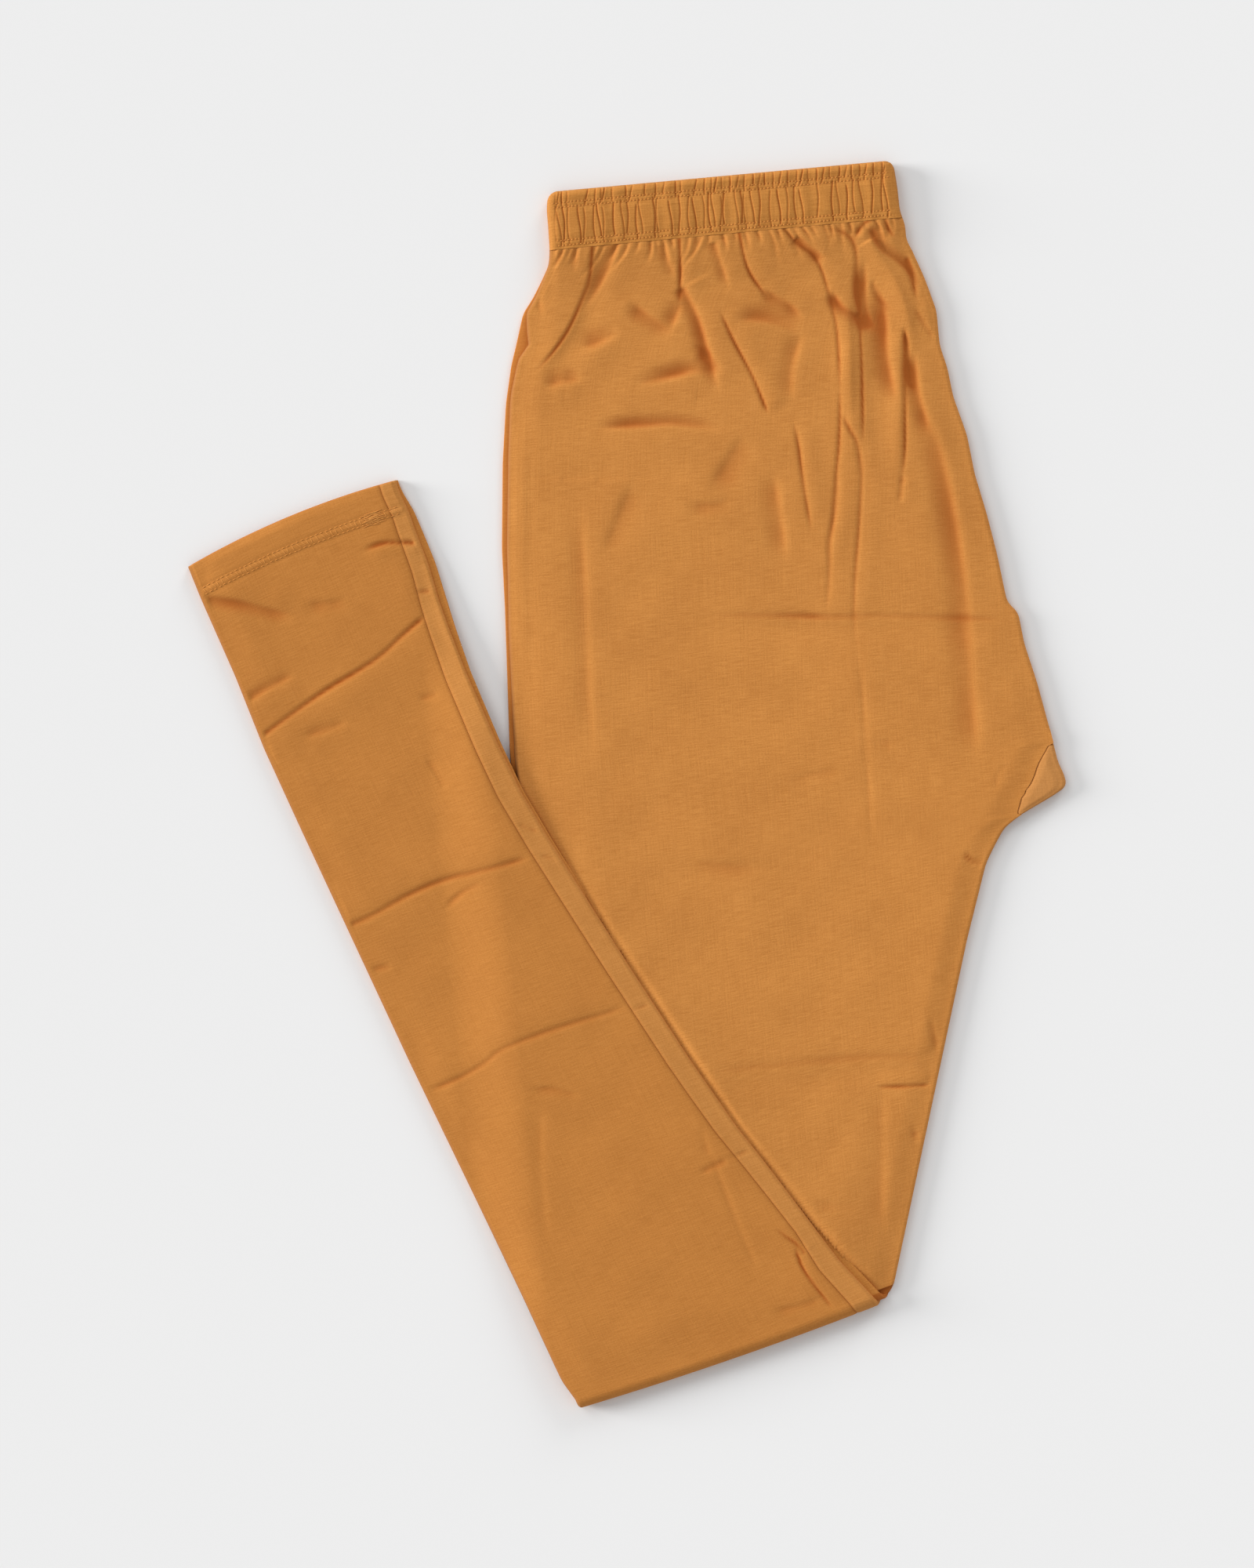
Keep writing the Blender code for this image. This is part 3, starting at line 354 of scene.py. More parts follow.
# Loft of the waistband, pressed down along its stitch rows: (distance from the top, loft).
BAND_LOFT = (
    (0.0, 0.3), (3.5, 0.7), (6.6, 0.3), (7.8, 0.45), (9.0, 0.3), (12.0, 0.75), (17.5, 0.85),
    (23.0, 0.75), (26.2, 0.3), (27.5, 0.4), (28.8, 0.15), (29.6, 0.1), (30.6, 0.05),
)
BAND_STITCH_ROWS = (6.6, 9.0, 26.2, 28.8)
BAND_STITCH_PITCH = 1.9
BAND_STITCH_LENGTH = 1.3
HEM_STITCH_ROWS = (14.0, 17.8)
HEM_STITCH_PITCH = 2.7
HEM_STITCH_LENGTH = 1.9
PATCH_STITCHES = 26
STITCH_WANDER = 0.12
STITCH_DIP = 0.3
HOLE_SHADE = 0.9
# Shape of a stitch: (share of its length, radius, rise), the last two in radii of the thread.
STITCH_SHAPE = (
    (0.0, 0.2, -0.6), (0.12, 0.75, 0.2), (0.3, 1.0, 0.7), (0.5, 1.05, 0.85), (0.7, 1.0, 0.7),
    (0.88, 0.75, 0.2), (1.0, 0.2, -0.6),
)
STITCH_SIDES = 6
THREAD_RADIUS = 0.22

# Lights: (name, strength, spread, height above the floor, heading from +X), angles in degrees.
LIGHTS = (
    ("window", 0.62, 30.0, 38.0, 140.0), ("low window", 3.5, 22.0, 13.0, 172.0),
    ("far window", 0.95, 26.0, 17.0, 62.0),
)

Row = namedtuple("Row", "left_x left_y right_x right_y turn bow")
# Points of a cloth, its two places along the knit, and the shade painted on it: above nothing, how dark and
# red a crease, groove, seam or hollow is painted; below nothing, how dark a brown rim is painted.
Cloth = namedtuple("Cloth", "x y z u v crevice")


def blend(first, second, share):
    return first + (second - first) * share


def smooth(share):
    share = np.clip(share, 0.0, 1.0)
    return share * share * (3.0 - 2.0 * share)


def bell(aside, width):
    """One on a line, falling off to both sides over a width."""
    return np.exp(-(aside / width) ** 2)


def lookup(table, key, column=1):
    """Value in a column of a table at a key between its rows."""
    rows = np.array(sorted(row[:3] for row in table))
    return np.interp(key, rows[:, 0], rows[:, column])


def soft_edge(outline):
    """Distance, x and y along an outline, with its corners softened."""
    points = np.array(outline)
    spots = np.concatenate(([0.0], np.cumsum(np.hypot(*np.diff(points, axis=0).T))))
    distance = np.linspace(0.0, spots[-1], round(spots[-1] / EDGE_STEP) + 1)
    window = np.ones(2 * EDGE_SOFTENING + 1) / (2 * EDGE_SOFTENING + 1)
    columns = [distance]
    for axis in (0, 1):
        values = np.interp(distance, spots, points[:, axis])
        wider = np.pad(values, EDGE_SOFTENING, mode="reflect", reflect_type="odd")
        columns.append(np.convolve(wider, window, mode="valid"))
    return columns


HIP_LEFT_EDGE = soft_edge(HIP_LEFT)
HIP_RIGHT_EDGE = soft_edge(HIP_RIGHT)
SHIN_LEFT_EDGE = soft_edge(SHIN_LEFT)
SHIN_RIGHT_EDGE = soft_edge(SHIN_RIGHT)
HIP_LENGTH = HIP_RIGHT_EDGE[0][-1]
SHIN_LENGTH = SHIN_RIGHT_EDGE[0][-1]


def edge_at(edge, distance):
    return np.interp(distance, edge[0], edge[1]), np.interp(distance, edge[0], edge[2])


def hip_row(station):
    share = station / HIP_LENGTH
    bow = FOLD_BOW * smooth(1.0 - (HIP_LENGTH - station) / BOW_REACH)
    left = edge_at(HIP_LEFT_EDGE, share * HIP_LEFT_EDGE[0][-1])
    return Row(*left, *edge_at(HIP_RIGHT_EDGE, station), np.full_like(share, -90.0), bow)


def shin_row(station):
    share = station / SHIN_LENGTH
    bow = FOLD_BOW * smooth(1.0 - station / BOW_REACH)
    bow += HEM_BOW * smooth(1.0 - (SHIN_LENGTH - station) / BOW_REACH)
    left = edge_at(SHIN_LEFT_EDGE, share * SHIN_LEFT_EDGE[0][-1])
    return Row(*left, *edge_at(SHIN_RIGHT_EDGE, station), np.full_like(share, 90.0), bow)


def fold_row(turn):
    """Row on the way round the fold, from the end of the thigh to the start of the shin."""
    share = (turn + 90.0) / 180.0
    thigh = (*HIP_LEFT[-1], *HIP_RIGHT[-1])
    shin = (*SHIN_LEFT[0], *SHIN_RIGHT[0])
    ends = [blend(low, high, share) for low, high in zip(thigh, shin)]
    return Row(*ends, turn, np.full_like(share, FOLD_BOW))


def stacked(*rows):
    """Several runs of rows as one, each with a row down the first axis."""
    return Row(*[np.concatenate(parts) for parts in zip(*rows)])


def width_of(row):
    return np.hypot(row.right_x - row.left_x, row.right_y - row.left_y)


def shin_lift(x, y):
    """Height of the shin's underside: on the floor beside the thigh, and on top of it over it."""
    beyond = x - np.interp(y, HIP_LEFT_EDGE[2][::-1], HIP_LEFT_EDGE[1][::-1])
    return SHIN_LEVEL * smooth((beyond + SLOPE_START) / SLOPE_LENGTH)


def place(row, across, depth):
    """Points at a distance across rows and a depth in from the outside of the fold."""
    width = width_of(row)
    step_x = (row.right_x - row.left_x) / width
    step_y = (row.right_y - row.left_y) / width
    share = across / width
    turn = np.radians(row.turn)
    out = row.bow * 4.0 * share * (1.0 - share) + (AXIS - depth) * np.cos(turn)
    x = row.left_x + step_x * across + step_y * out
    y = row.left_y + step_y * across - step_x * out
    z = AXIS + (AXIS - depth) * np.sin(turn)
    z = z + np.where(row.turn == 90.0, shin_lift(x, y) - SHIN_LEVEL, 0.0)
    return x, y, z


def stack_at(station):
    """Height of the hidden layers under the hip, thicker at the gathered waist."""
    share = (station - WAISTBAND_DEPTH) / (WAIST_SLOPE_END - WAISTBAND_DEPTH)
    return blend(WAIST_STACK, STACK, smooth(share))


def rounded_path(path):
    """Path with its corners cut, so that a crease bends smoothly."""
    points = np.array(path, dtype=float)
    for _ in range(CREASE_SUBDIVISIONS):
        near = blend(points[:-1], points[1:], 0.25)
        far = blend(points[:-1], points[1:], 0.75)
        middle = np.stack((near, far), axis=1).reshape(-1, 2)
        points = np.concatenate((points[:1], middle[1:-1], points[-1:]))
    return points


def beside_path(path, x, y):
    """Distance to the left of a path, and the share of its length travelled, at points."""
    lengths = np.hypot(*np.diff(path, axis=0).T)
    starts = np.concatenate(([0.0], np.cumsum(lengths)))
    nearest = np.full(x.shape, np.inf)
    aside = np.zeros(x.shape)
    travelled = np.zeros(x.shape)
    for start, end, length, before in zip(path, path[1:], lengths, starts):
        run_x, run_y = (end - start) / length
        forward = np.clip((x - start[0]) * run_x + (y - start[1]) * run_y, 0.0, length)
        away_x = x - start[0] - run_x * forward
        away_y = y - start[1] - run_y * forward
        away = np.hypot(away_x, away_y)
        closer = away < nearest
        nearest = np.where(closer, away, nearest)
        aside = np.where(closer, away * np.sign(run_x * away_y - run_y * away_x), aside)
        travelled = np.where(closer, before + forward, travelled)
    return aside, travelled / starts[-1]


def crease_field(creases, x, y):
    """Height that creases add at points, and the shade painted there.

    Narrow creases are made shallower than their depth. Only deep and narrow ones get a painted dark line,
    and every crease that dips gets a soft painted shade about as wide as itself.
    """
    height = np.zeros(x.shape)
    crevice = np.zeros(x.shape)
    shade = np.zeros(x.shape)
    for depth, width, swell, reach, fade_in, fade_out, corners in creases:
        path = rounded_path(corners)
        room = 3.0 * max(width, abs(reach))
        low, high = path.min(axis=0) - room, path.max(axis=0) + room
        near = (x > low[0]) & (x < high[0]) & (y > low[1]) & (y < high[1])
        aside, share = beside_path(path, x[near], y[near])
        fade = smooth(share / max(fade_in, 0.001)) * smooth((1.0 - share) / fade_out)
        fade = fade * (1.0 + CREASE_UNEVENNESS * np.sin(11.0 * share + path[0, 0]))
        beside = np.maximum(aside / reach, 0.0)
        steep, gentle = (STEEP_SIDE, GENTLE_SIDE) if width >= SOFT_WIDTH else (1.0, 1.0)
        uneven = np.where(aside * reach > 0.0, steep, gentle)
        height[near] -= depth * min(1.0, 0.4 + 0.15 * width) * fade * bell(aside, width * uneven)
        height[near] += SWELL * swell * fade * beside * np.exp(0.5 - 0.5 * beside ** 2)
        # Painted shade: a dark line down deep narrow creases, and a soft shade over every trough.
        sharp = np.clip(0.9 * depth / width - 0.2, 0.0, 1.0)
        line = sharp * fade * bell(aside, max(0.7 * width, LEAST_LINE))
        crevice[near] = np.maximum(crevice[near], line)
        shade[near] += SOFT_SHADE * max(depth, 0.0) * fade * bell(aside, (width + 0.5) * uneven)
    return height, np.maximum(crevice, shade)


def ripple(x, y):
    """Slight unevenness of cloth lying on cloth."""
    height = 0.2 * np.sin(x / 19.0 + 1.3 * np.sin(y / 47.0))
    height += 0.17 * np.sin(y / 23.0 + 1.1 * np.sin(x / 31.0) + 0.7)
    height += 0.09 * np.sin((x + 0.6 * y) / 8.3 + 1.7 * np.sin(y / 29.0))
    height += 0.06 * np.sin((0.5 * x - y) / 6.7 + 1.9 * np.sin(x / 17.0))
    return height


def kept_off(relief):
    """Relief that never dips as far as the layer below."""
    return np.where(relief < 0.0, -DEEPEST * np.tanh(-relief / DEEPEST), relief)


def tucks(down, across):
    """Height of the small tucks and the shade painted in them, at a distance down from the waistband's
    seam.
    """
    height = np.zeros(np.broadcast(down, across).shape)
    crevice = np.zeros(height.shape)
    for number, (start, length, lean) in enumerate(HIP_TUCKS):
        aside = across - start - lean * down - TUCK_SWAY * np.sin(down / 6.0 + number)
        depth = (TUCK_DEPTH + 0.25 * math.sin(2.3 * number)) * (0.5 + 0.5 * smooth(down / 2.5))
        depth = depth * smooth(1.0 - down / length)
        trough = depth * bell(aside, 1.0 + 0.05 * np.clip(down, 0.0, length))
        height += 0.3 * depth * bell(aside - 2.2, 1.5) - trough
        crevice = np.maximum(crevice, 0.5 * trough)
    return height, crevice


def rolled_side(top, end, radius, roll=1.0):
    """Insets and rises over a cloth's rolled edge, from its turned-in lip up to its top."""
    turn = np.linspace(0.0, math.pi / 2, ROLL_STEPS + 1)
    inset = np.concatenate(([LIP, 0.3 * LIP, 0.05, 0.0], radius * (1.0 - np.cos(turn))))
    wall = end + (top - radius - end) * np.array([[0.05, 0.0, 0.15, 0.6]])
    rise = np.concatenate((wall, top - radius * (1.0 - np.sin(turn)[None, :])), axis=1)
    flat_inset = radius * np.linspace(0.0, 1.0, len(inset)) ** 2
    flat_rise = top - np.where(np.arange(len(inset)) == 0, CLOTH, 0.0)
    return blend(flat_inset, inset, roll), blend(flat_rise, rise, roll)


def right_of_shin(x, y):
    """Distance of points to the right of the shin's edge."""
    return x - np.interp(y, SHIN_RIGHT_EDGE[2], SHIN_RIGHT_EDGE[1])


def open_hip(x, y):
    """One where the thigh is open to view, falling to nothing where the shin lies on it."""
    return np.where(y < SHIN_RIGHT[0][1], 0.0, smooth(right_of_shin(x, y) / OPEN_LENGTH))


def beside_shin(x, y):
    """Rise of the thigh where it is pushed up beside the shin, and the shade painted along the line there.
    """
    beside = right_of_shin(x, y)
    reach = (y > SHIN_RIGHT[0][1]) * (y < SHIN_RIGHT[-1][1]) * (beside > -TUCKED_UNDER)
    near = reach * np.exp(-np.maximum(beside, 0.0) / PUSHED_LENGTH)
    rise = PUSHED_RISE * near * blend(PUSHED_LEAST, 1.0, smooth(beside / PUSHED_EASE))
    return rise, LINE_SHADE * reach * bell(beside, LINE_WIDTH)


def thigh_ends(row):
    """Insets of the thigh's cloth from both edges, the roll of its right edge, and where the gusset is."""
    seam = lookup(GUSSET_SEAM, row.right_y)
    joined = seam >= GUSSET_LEAST
    left = lookup(HIP_PEEP, row.left_y)
    right = np.where(joined, seam + SEAM_JOIN / 2, 0.0)
    return left, right, lookup(GUSSET_SEAM, row.right_y, 2), joined


def thigh_at(station, across):
    """Points on the thigh's cloth, and the shade painted on them."""
    row = hip_row(station)
    left, right, _, joined = thigh_ends(row)
    down = station - WAISTBAND_DEPTH
    end = width_of(row) - right
    top = stack_at(station) + CLEARANCE + CLOTH
    x, y, _ = place(row, across, top)
    inside = np.minimum(across - left, end - across) - ROLL_RADIUS
    opened = open_hip(x, y)
    near_fade = smooth(inside / CREASE_EDGE_FADE) * opened
    edge_fade = blend(WAIST_EDGE_FADE, EDGE_FADE, smooth(down / EDGE_FADE_CHANGE))
    loft = blend(WAISTBAND_CLOTH - CLOTH, HIP_LOFT + ripple(x, y), smooth(down / LOFT_LENGTH))
    pushed, pushed_shade = beside_shin(x, y)
    height, crevice = crease_field(HIP_CREASES, x, y)
    height = height * blend(HELD_SHARE, 1.0, smooth(down / SEAM_HOLD))
    tuck_height, tuck_shade = tucks(down, across)
    relief = loft * smooth(inside / edge_fade) * opened + pushed * smooth(inside / PUSHED_FADE)
    relief = kept_off(relief + (height + tuck_height) * near_fade)
    seam_line = joined * bell(end - across, SEAM_WIDTH)
    # Shade painted in creases and tucks, under the waistband, beside the shin, near the fold and at the
    # seam.
    crevice = np.maximum.reduce(np.broadcast_arrays(
        np.maximum(crevice, tuck_shade) * near_fade,
        0.15 * smooth(1.0 - down / 1.5),
        pushed_shade,
        EDGE_SHADE * smooth(1.0 - (HIP_LENGTH - station) / FOLD_SHADE_LENGTH) * opened,
        SEAM_SHADE * seam_line,
    ))
    return x, y, top + relief - SEAM_DIP * seam_line, crevice


def inner_places(start, end, count):
    """Places across rows, evenly between a start and an end for each row, with neither of them."""
    return blend(start, end, np.linspace(0.0, 1.0, count + 2)[None, 1:-1])


def first_places(start, end, count):
    """Places across rows, evenly from a start for each row, without the end."""
    return blend(start, end, np.linspace(0.0, 1.0, count + 1)[None, :-1])


def cloth_of(length, *parts):
    """Cloth through parts side by side, each as its x, y, z, place across and painted shade."""
    x, y, z, across, crevice = [np.concatenate(columns, axis=1) for columns in zip(*parts)]
    return Cloth(x, y, z, across, np.broadcast_to(length, x.shape), crevice)


def side_columns(row, insets, depths, from_right, roll=1.0):
    """Points down the side of a piece, with shade painted on its rim, brown on the left, as columns for its
    mesh.
    """
    across = width_of(row) - insets if from_right else insets + 0.0 * width_of(row)
    x, y, z = place(row, across, depths)
    # Painted shade down the rim, fading up the roll: brown on the left, a little crease shade on the right.
    darkest = FAR_EDGE_SHADE if from_right else -EDGE_SHADE
    shade = darkest * (1.0 - np.linspace(0.0, 1.0, x.shape[1]) ** 3)
    return x, y, z, across, roll * (shade[::-1] if from_right else shade) + 0.0 * x


def turned_in(cloth, level, axis, ends):
    """Cloth whose open edges at some ends of an axis turn down to a level."""
    low = cloth._replace(z=np.minimum(cloth.z, level))
    grids = [cloth]
    if "first" in ends:
        grids.insert(0, Cloth(*[np.take(part, [0], axis) for part in low]))
    if "last" in ends:
        grids.append(Cloth(*[np.take(part, [-1], axis) for part in low]))
    return Cloth(*[np.concatenate(parts, axis) for parts in zip(*grids)])


def thigh_cloth():
    """Near leg from the waistband to the fold, without what lies far under the shin."""
    # Runs of rows, closer where the creases are: (first station, last, step).
    runs = (
        (WAISTBAND_DEPTH + SEAM_JOIN, 150.0, 0.78), (150.0, 330.0, 1.5), (330.0, 500.0, 2.1),
        (500.0, 526.0, 0.8), (526.0, HIP_LENGTH - 4.0, 2.1),
    )
    station = np.concatenate([np.arange(first, last, step) for first, last, step in runs])[:, None]
    row = hip_row(station)
    stack = stack_at(station)
    top = stack + CLEARANCE + CLOTH
    left, right, roll, _ = thigh_ends(row)
    left_inset, left_rise = rolled_side(top, stack / 2 + SEAM_GAP, ROLL_RADIUS)
    right_inset, right_rise = rolled_side(top, stack / 2 + SEAM_GAP, ROLL_RADIUS, roll)
    across = inner_places(left + ROLL_RADIUS, width_of(row) - right - ROLL_RADIUS, THIGH_COLUMNS)
    x, y, z, crevice = thigh_at(station, across)
    cloth = cloth_of(
        station,
        side_columns(row, left + left_inset, left_rise, False),
        (x, y, z, across, crevice),
        side_columns(row, (right + right_inset)[:, ::-1], right_rise[:, ::-1], True, roll),
    )
    cloth = turned_in(cloth, stack + CLEARANCE, 0, ("first", "last"))
    return cloth, right_of_shin(cloth.x, cloth.y) < -COVERED_DEPTH


def gusset_cloth():
    """Gusset let in at the crotch, from its seam to the folded edge."""
    station = np.arange(*GUSSET_REACH, GUSSET_STEP)
    station = station[lookup(GUSSET_SEAM, hip_row(station).right_y) >= GUSSET_LEAST][:, None]
    row = hip_row(station)
    seam = lookup(GUSSET_SEAM, row.right_y)
    radius = ROLL_RADIUS * np.minimum(1.0, (seam - SEAM_GAP) / GUSSET_EASE)
    inset, rise = rolled_side(LAYER_TOP + 0.0 * station, STACK / 2 + SEAM_GAP, ROLL_RADIUS)
    inset = inset * radius / ROLL_RADIUS
    width = width_of(row)
    across = first_places(width - seam + SEAM_JOIN / 2, width - radius, GUSSET_COLUMNS)
    x, y, _ = place(row, across, LAYER_TOP)
    beside = across - (width - seam)
    dip = bell(beside, SEAM_WIDTH)
    swell = smooth(beside / GUSSET_EASE) * smooth((width - radius - across) / GUSSET_EASE)
    # Shade is painted along the seam.
    cloth = cloth_of(
        station,
        (x, y, LAYER_TOP + GUSSET_SWELL * swell - SEAM_DIP * dip, across, SEAM_SHADE * dip),
        side_columns(row, inset[:, ::-1], rise[:, ::-1], True),
    )
    return turned_in(cloth, STACK + CLEARANCE, 1, ("first",)), None


def shin_columns(row, station):
    """Places across shin rows: the upper leg's edge inset, its inseam and its edge."""
    peep = lookup(SHIN_EDGE, station)
    edge = width_of(row) - peep
    return peep, edge - lookup(SHIN_EDGE, station, 2), edge


def shin_relief(row, station, across, x, y):
    """Height of the shin's cloth, across the inseam as well, and the shade painted in its creases and at
    the inseam.
    """
    _, seam, edge = shin_columns(row, station)
    height, crevice = crease_field(SHIN_CREASES, x, y)
    inside = np.minimum(across, edge - across) - ROLL_RADIUS
    up = SHIN_LENGTH - station
    hem_fade = smooth(up / HEM_FADE)
    near_fade = smooth(inside / CREASE_EDGE_FADE) * smooth(station / CREASE_FOLD_FADE) * hem_fade
    relief = (SHIN_LOFT + ripple(x, y + 40.0)) * smooth(inside / EDGE_FADE)
    relief = kept_off(relief * smooth(station / FOLD_FADE) * hem_fade + height * near_fade)
    relief = relief + HEM_RISE * smooth((HEM_DEPTH - up) / 1.2)
    for spot in HEM_STITCH_ROWS:
        relief = relief - STITCH_DIP * bell(up - spot, 0.9)
    seam_line = bell(across - seam, SEAM_WIDTH)
    return relief - SEAM_DIP * seam_line, np.maximum(crevice * near_fade, SHIN_SEAM_SHADE * seam_line)


def shin_face(row, station, drop, across):
    """Points on the shin's cloth, going down and painted darker at the hem's edge, each with its place and
    painted shade.
    """
    x, y, _ = place(row, across, SHIN_FACE)
    relief, crevice = shin_relief(row, station, across, x, y)
    x, y, z = place(row, across, SHIN_FACE - relief + drop)
    return x, y, z, across, np.maximum(crevice, EDGE_SHADE * smooth(drop / 0.6))


def shin_at(station, across):
    """Points on the shin's cloth, and the shade painted on them."""
    x, y, z, _, crevice = shin_face(shin_row(station), station, 0.0, across)
    return x, y, z, crevice


def shin_side(station, drop, peep):
    """Insets and depths down a side of the shin's cloth."""
    inset, rise = rolled_side(LAYER_TOP + 0.0 * station, STACK / 2 + SEAM_GAP, ROLL_RADIUS)
    return peep + inset + 0.0 * rise, np.minimum(STACK - rise + drop, STACK / 2)


def shin_path():
    """Rows of the shin's cloth: round the fold, up the leg, and over the hem's edge."""
    turn = np.arange(PANEL_FOLD_START, 90.0, TURN_STEP)[:, None]
    station = np.arange(0.0, SHIN_LENGTH - 1.0, SHIN_STEP)[:, None]
    over = np.array(HEM_EDGE)
    hem = SHIN_LENGTH - over[:, :1]
    row = stacked(fold_row(turn), shin_row(station), shin_row(hem))
    drop = np.concatenate((0.0 * turn, 0.0 * station, over[:, 1:]))
    length = np.concatenate(((turn - 90.0) * math.radians(AXIS - SHIN_FACE), station, hem))
    return row, np.maximum(length, 0.0), drop, length


def shin_cloth():
    """Far leg from the fold to the ankle hem, up to its inseam, wrapped round the fold."""
    row, station, drop, length = shin_path()
    _, seam, _ = shin_columns(row, station)
    last = seam - SEAM_JOIN / 2
    across = np.concatenate((inner_places(ROLL_RADIUS, last, SHIN_COLUMNS), last), axis=1)
    side = side_columns(row, *shin_side(station, drop, 0.0), False)
    return cloth_of(length, side, shin_face(row, station, drop, across)), None


def strip_cloth():
    """Far leg beyond its inseam, wrapped round the right edge."""
    row, station, drop, length = shin_path()
    peep, seam, edge = shin_columns(row, station)
    across = first_places(seam + SEAM_JOIN / 2, edge - ROLL_RADIUS, STRIP_COLUMNS)
    insets, depths = shin_side(station, drop, peep)
    side = side_columns(row, insets[:, ::-1], depths[:, ::-1], True)
    return cloth_of(length, shin_face(row, station, drop, across), side), None


def rounded_corner(inset, station):
    """Insets and stations near the waist's square corners, moved onto a round one."""
    near = (inset < WAIST_CORNER) & (station < WAIST_CORNER)
    across = np.clip(1.0 - inset / WAIST_CORNER, 0.0, 1.0)
    down = np.clip(1.0 - station / WAIST_CORNER, 0.0, 1.0)
    round_inset = WAIST_CORNER * (1.0 - across * np.sqrt(1.0 - down ** 2 / 2.0))
    round_station = WAIST_CORNER * (1.0 - down * np.sqrt(1.0 - across ** 2 / 2.0))
    return np.where(near, round_inset, inset), np.where(near, round_station, station)


def hip_points(station, across, depth):
    """Points on the hip with the waist's two corners rounded, and their stations."""
    width = width_of(hip_row(station))
    far_side = across > width / 2
    inset, station = rounded_corner(np.where(far_side, width - across, across), station + 0.0 * across)
    row = hip_row(station)
    return *place(row, np.where(far_side, width_of(row) - inset, inset), depth), station


def grooves(station, across, places, start, end, depth):
    """Gather grooves of one zone of the waistband, each with its own length, lean and sway, and the shade
    painted in them.
    """
    height = np.zeros(np.broadcast(station, across).shape)
    crevice = np.zeros(height.shape)
    shorter = GROOVE_SHORTEST * (end - start)
    for number, spot in enumerate(places):
        sway = 0.55 * np.sin(station / 4.3 + 2.1 * number) + 0.03 * (station - 16.0) * math.sin(number)
        first = start + shorter * max(0.0, math.sin(1.7 * number))
        last = end - shorter * max(0.0, math.sin(2.9 * number + 1.0))
        fade = smooth((station - first + 1.0) / 2.0) * smooth((last + 1.0 - station) / 2.0)
        trough = fade * (0.8 + 0.2 * math.sin(3.7 * number)) * bell(across - spot - sway, GROOVE_WIDTH)
        height -= depth * trough
        crevice = np.maximum(crevice, trough)
    return height, crevice


def stitch_start(number):
    """Place across the waistband where one of its rows of stitching starts."""
    return 2.5 + 0.7 * number


def band_relief(station, across, width):
    """Height of the gathered waistband, and the shade painted in its grooves and stitch holes."""
    height = lookup(BAND_LOFT, station)
    height = height + 0.18 * np.sin(across / 1.9 + 1.2 * np.sin(across / 5.3) + 0.5 * np.sin(station / 4.0))
    # Shade is painted in the gather grooves and in the holes between the stitches.
    crevice = 0.0
    for places, start, end, depth in BAND_ZONES:
        groove, shade = grooves(station, across, places, start, end, depth)
        height = height + groove
        crevice = np.maximum(crevice, GROOVE_SHADE * shade)
    holes = 0.0
    for number, spot in enumerate(BAND_STITCH_ROWS):
        beat = np.cos(2.0 * math.pi * (across - stitch_start(number) + 0.3) / BAND_STITCH_PITCH)
        holes = holes + np.maximum(beat, 0.0) ** 3 * bell(station - spot, 0.5)
    fade = smooth(np.minimum(across - 2.0, width - 2.0 - across) / 4.0)
    return (height - STITCH_DIP * holes) * fade, np.maximum(crevice, HOLE_SHADE * holes) * fade


def band_at(station, across):
    """Points on the flat of the waistband, and the shade painted on them."""
    row = hip_row(station)
    x, y, _ = place(row, across, BAND_TOP)
    relief, crevice = band_relief(station, across, width_of(row))
    return x, y, BAND_TOP + relief, crevice


def band_cloth():
    """Gathered elastic casing, rolled over at its top and both ends."""
    end = WAIST_STACK / 2 + SEAM_GAP
    inset, rise = rolled_side(np.array([[BAND_TOP]]), end, BAND_ROLL_RADIUS)
    rise = rise[0]
    flat = np.append(np.arange(BAND_ROLL_RADIUS + 0.5, WAISTBAND_DEPTH, BAND_STEP), WAISTBAND_DEPTH)
    station = np.concatenate((inset, flat))[:, None]
    row_rise = np.concatenate((rise, np.full(len(flat), BAND_TOP)))[:, None]
    width = width_of(hip_row(station))
    middle = inner_places(BAND_ROLL_RADIUS + 0.0 * width, width - BAND_ROLL_RADIUS, BAND_COLUMNS)
    across = np.concatenate((inset + 0.0 * width, middle, width - inset[::-1]), axis=1)
    column_rise = np.concatenate((rise, np.full(BAND_COLUMNS, BAND_TOP), rise[::-1]))[None, :]
    level = np.minimum(row_rise, column_rise)
    relief, crevice = band_relief(station, across, width)
    # Brown rim shade is painted where the cloth rolls over at its top and ends.
    raised = smooth((level - rise[0]) / (BAND_TOP - rise[0]))
    relief = relief * smooth((row_rise - rise[0]) / (BAND_TOP - rise[0]))
    x, y, z, station = hip_points(station, across, level)
    cloth = Cloth(x, y, z + relief, across, station, blend(-EDGE_SHADE, crevice, raised))
    return turned_in(cloth, WAIST_STACK + CLEARANCE, 0, ("last",)), None


def layer_side(stack, cover, setback, share=1.0):
    """Insets and rises up the side of the hidden layers, from the floor to their top."""
    wall = cover + CLEARANCE + setback
    bare = np.array(BARE_SIDE)
    covered = np.array(COVERED_SIDE)
    inset = np.concatenate((bare[None, :, 0] + 0.0 * wall, covered[None, :, 0] + wall), axis=1)
    levels = np.concatenate((bare[:, 1], covered[:, 1]))[None, :]
    return inset, levels * stack * share


def turned_side(setback, share=1.0):
    """Insets and depths down the side of the hidden layers of the shin, which lie the other way up."""
    inset, rise = layer_side(STACK, CLOTH, setback, share)
    return inset[:, ::-1], STACK - rise[:, ::-1]


